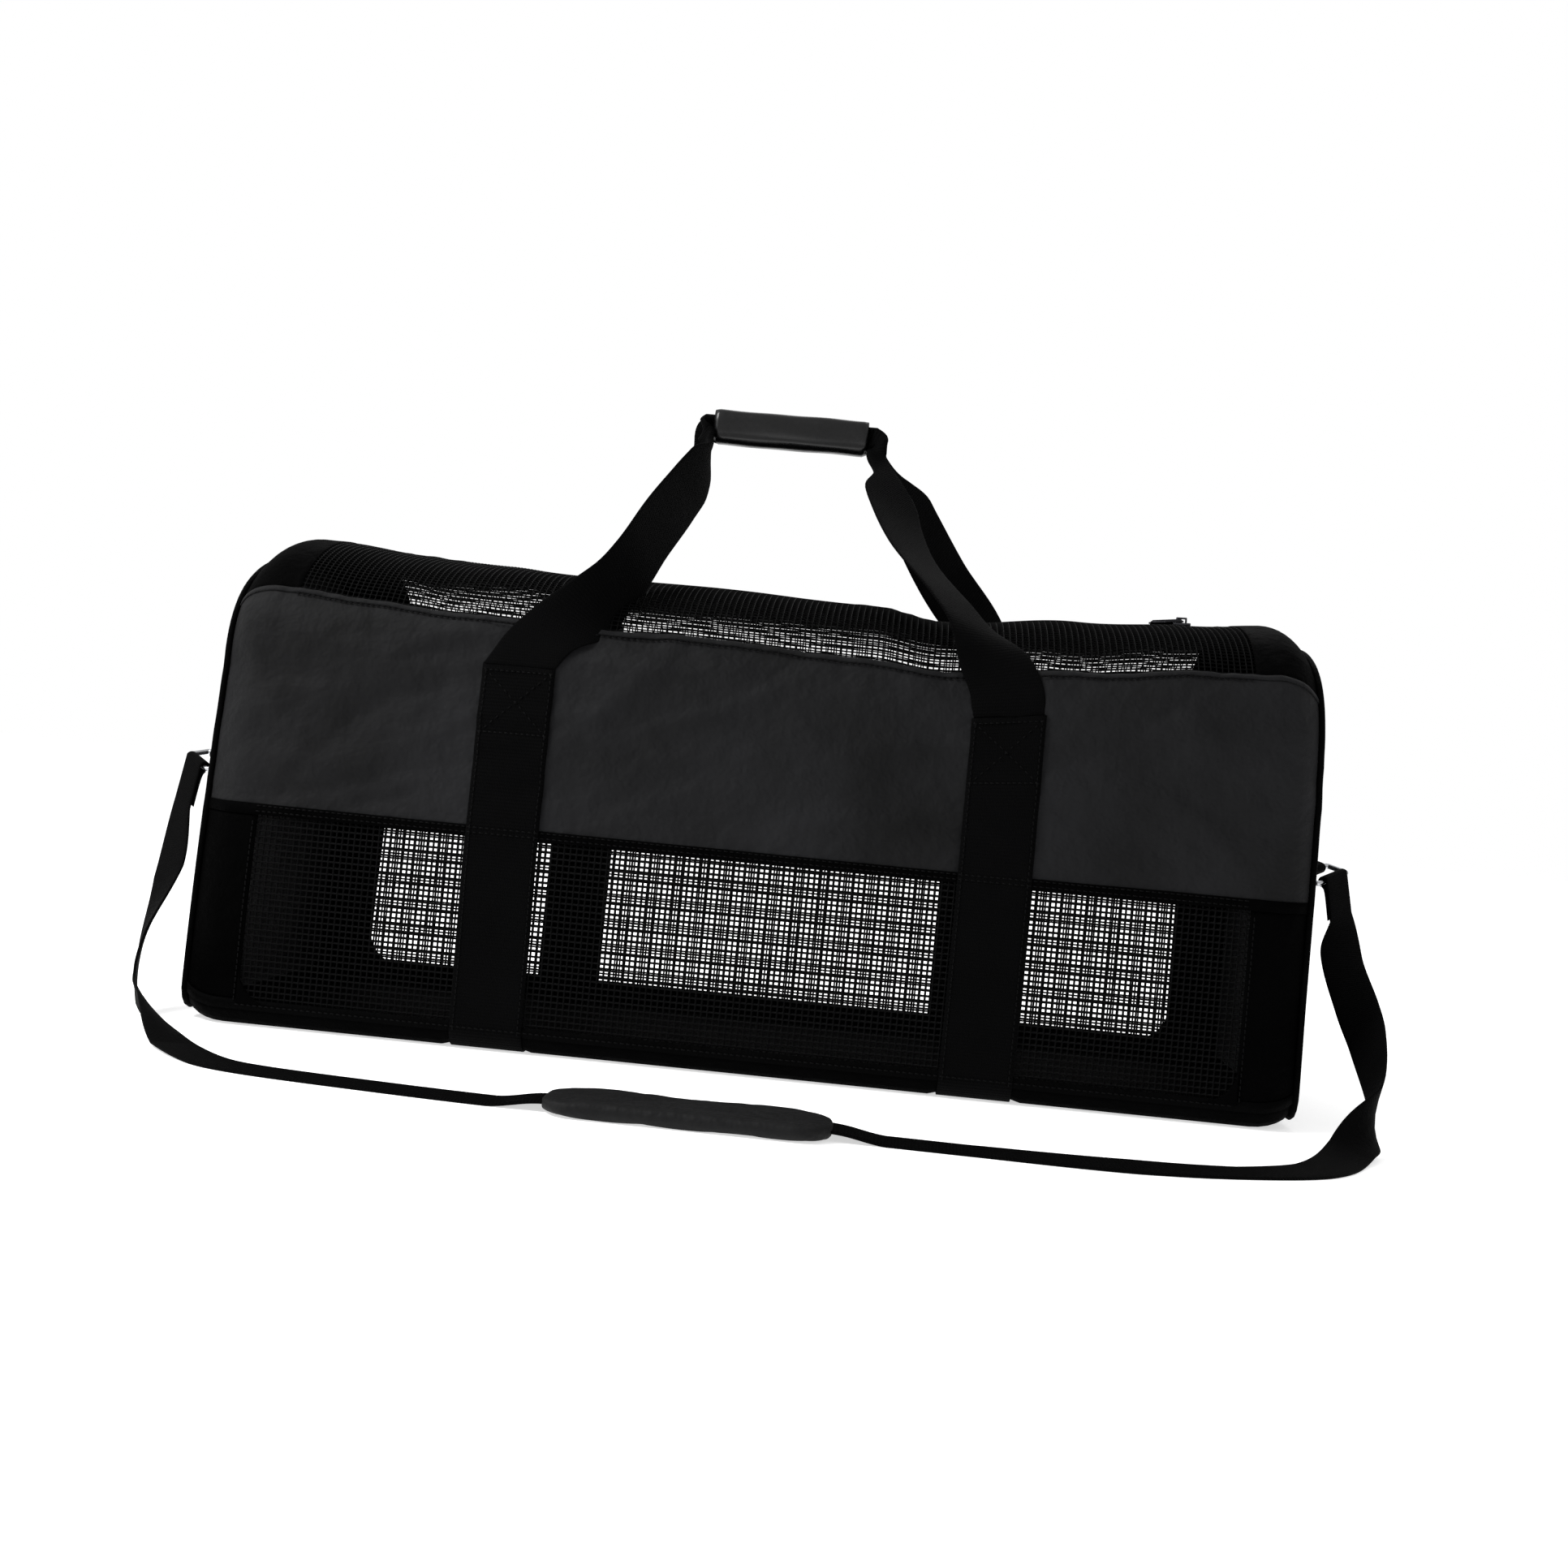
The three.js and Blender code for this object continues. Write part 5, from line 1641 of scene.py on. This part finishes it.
    def tab(self, end: End, outer_bar: Array, bar: Array, depth: Array, flat: Array) -> None:
        """Builds the short webbing loop that ties the ring to the end panel.

        Args:
            end: Which end.
            outer_bar: The ring's outer bar.
            bar: The bars' direction.
            depth: The ring's depth direction.
            flat: The direction square to the ring.
        """
        inner_bar = outer_bar - depth * self.ring_depth
        radius = self.wire / 2 + SEAM_GAP + self.tab_thickness / 2
        stand = self.tab_thickness / 2 + SEAM_GAP
        legs = []
        for up in (1, -1):
            sewn_x = end.value * (self.skin.half - 1)
            root = np.array([sewn_x, inner_bar[1] * 0.4, inner_bar[2] + up * stand])
            neck = inner_bar - depth * 1.5 * self.wire + flat * up * radius
            middle = (root + neck) / 2 + flat * 0.4 * up * radius
            legs.append(curve_through(np.array([root, middle, neck]), np.linspace(0, 2, 9)))
        turn = self.half_turn(inner_bar, radius, flat, depth, 14)
        points = np.vstack([legs[0], turn, legs[1][::-1]])
        share = np.concatenate([np.linspace(0, 1, 9), np.ones(15), np.linspace(1, 0, 9)])[:, None]
        across = unit(np.array([0.0, 1.0, 0.0]) * (1 - share) + bar * share)
        count = len(points)
        stations = Stations(
            points, across, np.full(count, self.tab_width), np.full(count, self.tab_thickness)
        )
        name = f"ring_tab_{end.label}"
        dress(stations.band(f"{name}_webbing", self.finishes.strap), "webbing", name)

    def strap(self, end: End, rows: Array, outer_bar: Array, bar: Array) -> None:
        """Builds one half of the strap, from the pad to the ring, round its bar and back as a sewn tail.

        Args:
            end: Which end.
            rows: The strap's run: shares of the half length, half depth and ring height, and its width.
            outer_bar: The ring's outer bar.
            bar: The bar's direction.
        """
        side = end.value
        centre_y = -self.pad_out * self.skin.half_depth
        pad_end = self.pad_place + side * (self.pad_length / 2 + self.thickness)
        xs = [self.pad_place + side * 0.15, self.pad_place + side * self.pad_length / 4, pad_end]
        points = [np.array([x, centre_y, self.pad_thickness / 2]) for x in xs]
        across = [np.array([0.0, 1.0, 0.0])] * 3
        for along, out, up, wx, wy, wz in rows:
            width = unit(np.array([wx, wy, wz]))
            lift = abs(width[2]) * self.width / 2 + self.thickness / 2
            points.append(np.array([
                along * self.skin.half, out * self.skin.half_depth, up * self.ring_height + lift,
            ]))
            across.append(width)
        radius = self.wire / 2 + 2 * SEAM_GAP + self.thickness / 2
        rise = unit(outer_bar - points[-1])
        over = unit(rise - bar * rise.dot(bar))
        beside = unit(np.cross(over, bar)) * -side
        top = outer_bar + beside * radius
        points.append(top - rise * self.approach)
        across.append(bar)
        last = len(points) - 1
        places = np.linspace(0, last, 9 * last + 1)
        main = curve_through(np.array(points), places)
        tangent = unit(np.gradient(main, axis=0))[::9]
        widths = np.array(across)
        square = unit(widths - tangent * np.sum(widths * tangent, axis=1, keepdims=True))
        square[-1] = bar
        turned = [np.interp(places, np.arange(last + 1), square[:, axis]) for axis in range(3)]
        main_across = unit(np.stack(turned, axis=-1))
        floor = np.abs(main_across[:, 2]) * self.width / 2 + self.thickness / 2
        main[:, 2] = np.maximum(main[:, 2], floor)
        turn = self.half_turn(outer_bar, radius, beside, over, 12)
        apart = self.thickness + 2 * SEAM_GAP
        tail = np.array([
            top - rise * share * self.tail - beside * (apart + (2 * radius - apart) * math.exp(-share * 9))
            for share in np.linspace(0.05, 1, 10)
        ])
        whole = np.vstack([main, turn, tail])
        bars = np.broadcast_to(bar, (len(turn) + len(tail), 3))
        count = len(whole)
        stations = Stations(
            whole, np.vstack([main_across, bars]), np.full(count, self.width), np.full(count, self.thickness)
        )
        name = f"shoulder_strap_{end.label}"
        dress(stations.band(f"{name}_webbing", self.finishes.strap), "webbing", name)

    def pad(self) -> None:
        """Builds the pad: a soft, stuffed sleeve with rounded ends."""
        work = bmesh.new()
        size = (self.pad_length - 6, self.pad_width - 4, self.pad_thickness * self.pad_slack)
        out = -self.pad_out * self.skin.half_depth
        centre = Vector((self.pad_place, out, self.pad_thickness / 2)) * METRE
        slab = Matrix.Translation(centre) @ block([s * METRE for s in size])
        bmesh.ops.create_cube(work, size=1.0, matrix=slab)
        bevel(work, upright(work, 0.004), 0.021, 8)
        rims = [e for e in work.edges if len(e.link_faces) == 2 and e.calc_face_angle(0.0) > 1.2]
        bevel(work, rims, 0.003, 3)
        piece = as_object("shoulder_pad_cushion", work, self.finishes.pad)
        self.stuff(piece)
        self.settle(piece, centre)
        dress(piece, "pad", "shoulder_pad")

    def stuff(self, piece: bpy.types.Object) -> None:
        """Remeshes the pad evenly and lets cloth under pressure fill it out.

        Args:
            piece: The pad.
        """
        scene = bpy.context.scene
        last_frame = 20
        remesh = piece.modifiers.new("even", "REMESH")
        remesh.mode = "VOXEL"
        remesh.voxel_size = 0.0028
        even = bpy.data.meshes.new_from_object(piece.evaluated_get(bpy.context.evaluated_depsgraph_get()))
        piece.modifiers.clear()
        piece.data = even
        start = np.array([v.co[:] for v in even.vertices])
        cloth = piece.modifiers.new("fill", "CLOTH")
        cloth.settings.use_pressure = True
        cloth.settings.uniform_pressure_force = 4.0
        cloth.settings.effector_weights.gravity = 0.0
        cloth.settings.quality = 6
        cloth.point_cache.frame_start = 1
        cloth.point_cache.frame_end = last_frame
        for frame_number in range(1, last_frame + 1):
            scene.frame_set(frame_number)
        filled = piece.evaluated_get(bpy.context.evaluated_depsgraph_get()).data
        moved = np.array([v.co[:] for v in filled.vertices]) - start
        distance = np.linalg.norm(moved, axis=1, keepdims=True)
        moved *= np.minimum(1.0, self.pad_swell * METRE / np.maximum(distance, 1e-9))
        piece.modifiers.clear()
        even.vertices.foreach_set("co", (start + moved).ravel())
        scene.frame_set(1)

    def settle(self, piece: bpy.types.Object, centre: Vector) -> None:
        """Fits the pad into its CAD box, flat where it rests, with faint wrinkles along its length.

        Args:
            piece: The pad.
            centre: The middle of its place, in metres.
        """
        mesh = piece.data
        points = np.array([v.co[:] for v in mesh.vertices]) - np.array(centre)
        half = np.array([self.pad_length, self.pad_width, self.pad_thickness]) * METRE / 2
        points *= half / np.abs(points).max(axis=0)
        across = points[:, 1] / half[1]
        run = points[:, 0] / METRE
        wrinkle = 0.0003 * np.sin(run / 31 + 9 * across) * np.sin(7.5 * across + run / 67)
        draw = np.random.default_rng(5)
        for _ in range(self.pad_wrinkles):
            middle, place, turn = draw.uniform(-78, 78), draw.uniform(-0.8, 0.8), draw.normal(0.0, 0.35)
            step_x, step_y = run - middle, (across - place) * self.pad_width / 2
            along = (step_x * math.cos(turn) + step_y * math.sin(turn)) / draw.uniform(9, 30)
            beside = (step_y * math.cos(turn) - step_x * math.sin(turn)) / draw.uniform(2.6, 5.0)
            wrinkle = wrinkle - draw.uniform(0.0006, 0.0017) * np.exp(-along * along - beside * beside)
        edge = np.clip(1 - np.abs(across), 0, 1) * np.clip(1 - np.abs(points[:, 0]) / half[0], 0, 1)
        points[:, 2] += wrinkle * smooth(0.0, 0.12, edge) * np.sign(points[:, 2])
        points[:, 2] = np.maximum(points[:, 2], -half[2])
        mesh.vertices.foreach_set("co", (points + np.array(centre)).ravel())
        mesh.update()
        for polygon in mesh.polygons:
            polygon.use_smooth = True
        if not mesh.materials:
            mesh.materials.append(self.finishes.pad)
        refine = piece.modifiers.new("soften", "SUBSURF")
        refine.levels = refine.render_levels = 1


@dataclass
class Stitching:
    """Rows of thread along the seams, hems and webbing edges."""

    skin: BagSkin
    finishes: Finishes
    pitch: float = 4.2
    long: float = 2.7
    wide: float = 0.75
    high: float = 0.6
    inset: float = 2.6
    box_high: float = 42.0
    box_low: float = 4.0
    cloth_stand: float = 1.05
    webbing_stand: float = 2.15

    def build(self) -> None:
        """Builds and dresses the rows of each wall and of the webbing."""
        skin, side = self.skin, self.skin.border_u
        seams = ((3.0, side, 1.2), (3.0, side, 4.6), (WALL_FOOT, side, -1.6), (5.0, skin.top_border_u, -3.6))
        for wall in Wall:
            way = wall.value
            rows: list[tuple[Array, Array]] = []
            for place, half, shift in seams:
                u = np.arange(-half, half, self.pitch)
                rows.append((u, np.full_like(u, way * (skin.height(place) + shift))))
            for end in End:
                h = np.arange(skin.height(2.02), skin.height(2.98), self.pitch)
                rows.append((np.full_like(h, end.value * (side + self.inset)), way * h))
                rows.extend(self.webbing_rows(end, way))
            self.rows(f"stitches_{wall.label}", rows)

    def webbing_rows(self, end: End, way: int) -> list[tuple[Array, Array]]:
        """The rows down both edges of the webbing and the box stitch below its crease.

        Args:
            end: Which side.
            way: The wall's sign.

        Returns:
            Rows of u and heights.
        """
        low = self.skin.height(1.9)
        crease = self.skin.height(self.skin.crease_v)
        place = end.value * self.skin.webbing_place
        half = self.skin.webbing_width / 2 - self.inset
        h = np.arange(low, crease - 3, self.pitch)
        rows = [(np.full_like(h, place + edge * half), way * h) for edge in (-1, 1)]
        share = np.linspace(0, 1, 13)
        across = half * (2 * share - 1)
        foot = crease - self.box_low - self.box_high
        for height in (crease - self.box_low, foot):
            rows.append((place + across, np.full_like(share, way * height)))
        for lean in (-1, 1):
            rows.append((place + lean * across, way * (foot + self.box_high * share)))
        return rows

    def rows(self, name: str, rows: Sequence[tuple[Array, Array]]) -> None:
        """Builds stitches along rows as one piece of thread.

        Args:
            name: The piece's name.
            rows: Places along the bag and heights round it, in order along each row.
        """
        work = bmesh.new()
        skin = self.skin
        size = block((self.long * METRE, self.wide * METRE, self.high * METRE))
        webbing_low = skin.webbing_place - skin.webbing_width / 2
        webbing_high = skin.webbing_place + skin.webbing_width / 2
        for u, h in rows:
            v = skin.place_at(h)
            on_webbing = (np.abs(u) > webbing_low) & (np.abs(u) < webbing_high)
            points = skin.off(u, v, np.where(on_webbing, self.webbing_stand, self.cloth_stand))
            outs = skin.normal(u, v)
            runs = unit(np.gradient(points, axis=0))
            for point, out, run in zip(points, outs, runs):
                ahead = Vector(run)
                beside = Vector(out).cross(ahead).normalized()
                frame = frame_at(ahead, beside, ahead.cross(beside), Vector(point * METRE))
                bmesh.ops.create_cube(work, size=1.0, matrix=frame @ size)
        dress(as_object(name, work, self.finishes.thread), "webbing")


@dataclass
class Studio:
    """The floor, the soft light and the camera at the photo's angle."""

    camera_place: tuple[float, float, float] = (0.0943, -1.4925, 0.2031)
    yaw: float = -3.2
    pitch: float = -0.047
    roll: float = 5.397
    lens: float = 44.73
    floor_tone: float = 0.92
    floor_glow: float = 0.6
    air_light: float = 0.58
    air_shown: float = 1.0

    def build(self) -> None:
        """Builds the floor, lights and camera."""
        work = bmesh.new()
        bmesh.ops.create_grid(work, x_segments=2, y_segments=2, size=14.0)
        tone = (self.floor_tone, self.floor_tone, self.floor_tone)
        paper = PlainFinish("floor_paper", tone, 0.9, shine=0.1, glow=self.floor_glow)
        as_object("studio_floor", work, paper.make())
        world = bpy.data.worlds.new("studio_air")
        bpy.context.scene.world = world
        world.use_nodes = True
        background = world.node_tree.nodes["Background"]
        background.inputs["Color"].default_value = (1, 1, 1, 1)
        seen = world.node_tree.nodes.new("ShaderNodeLightPath").outputs["Is Camera Ray"]
        strength = world.node_tree.nodes.new("ShaderNodeMapRange")
        strength.inputs["To Min"].default_value = self.air_light
        strength.inputs["To Max"].default_value = self.air_shown
        world.node_tree.links.new(seen, strength.inputs["Value"])
        world.node_tree.links.new(strength.outputs["Result"], background.inputs["Strength"])
        bpy.context.scene.view_settings.view_transform = "Standard"
        self.lamp("key", (-1.25, -0.75, 1.45), 0.7, 32)
        self.lamp("rear", (0.2, 1.8, 1.9), 1.8, 10)
        self.camera()

    @staticmethod
    def lamp(name: str, place: tuple[float, float, float], size: float, power: float) -> None:
        """Adds a soft area lamp that looks at the bag.

        Args:
            name: The lamp's name.
            place: Where it stands.
            size: Its side.
            power: Its power in watts.
        """
        data = bpy.data.lights.new(name, "AREA")
        data.energy = power
        data.size = size
        lamp = bpy.data.objects.new(name, data)
        lamp.location = place
        lamp.rotation_euler = (Vector((0, 0, 0.2)) - Vector(place)).to_track_quat("-Z", "Y").to_euler()
        bpy.context.scene.collection.objects.link(lamp)

    def camera(self) -> None:
        """Adds the camera at the place and turn worked out from the photo."""
        data = bpy.data.cameras.new("photo_camera")
        data.lens = self.lens
        data.sensor_width = 36.0
        data.clip_start = 0.02
        camera = bpy.data.objects.new("photo_camera", data)
        yaw, pitch, roll = (math.radians(a) for a in (self.yaw, self.pitch, self.roll))
        ahead = np.array([math.sin(yaw) * math.cos(pitch), math.cos(yaw) * math.cos(pitch), math.sin(pitch)])
        right = np.array([math.cos(yaw), -math.sin(yaw), 0.0])
        up = np.cross(right, ahead)
        rolled_right = right * math.cos(roll) + up * math.sin(roll)
        rolled_up = -right * math.sin(roll) + up * math.cos(roll)
        axes = (Vector(rolled_right), Vector(rolled_up), Vector(-ahead))
        camera.matrix_world = frame_at(*axes, Vector(self.camera_place))
        bpy.context.scene.collection.objects.link(camera)
        bpy.context.scene.camera = camera


def main() -> None:
    logging.basicConfig(level=logging.INFO, format="%(name)s: %(message)s")
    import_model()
    finishes = Finishes()
    skin = BagSkin()
    Studio().build()
    BagBody(skin, finishes).build()
    NetWindows(skin, finishes).build()
    Zipper(skin, finishes).build()
    Handles(skin, finishes).build()
    ShoulderStrap(skin, finishes).build()
    Stitching(skin, finishes).build()
    bpy.context.view_layer.update()


if __name__ == "__main__":
    main()
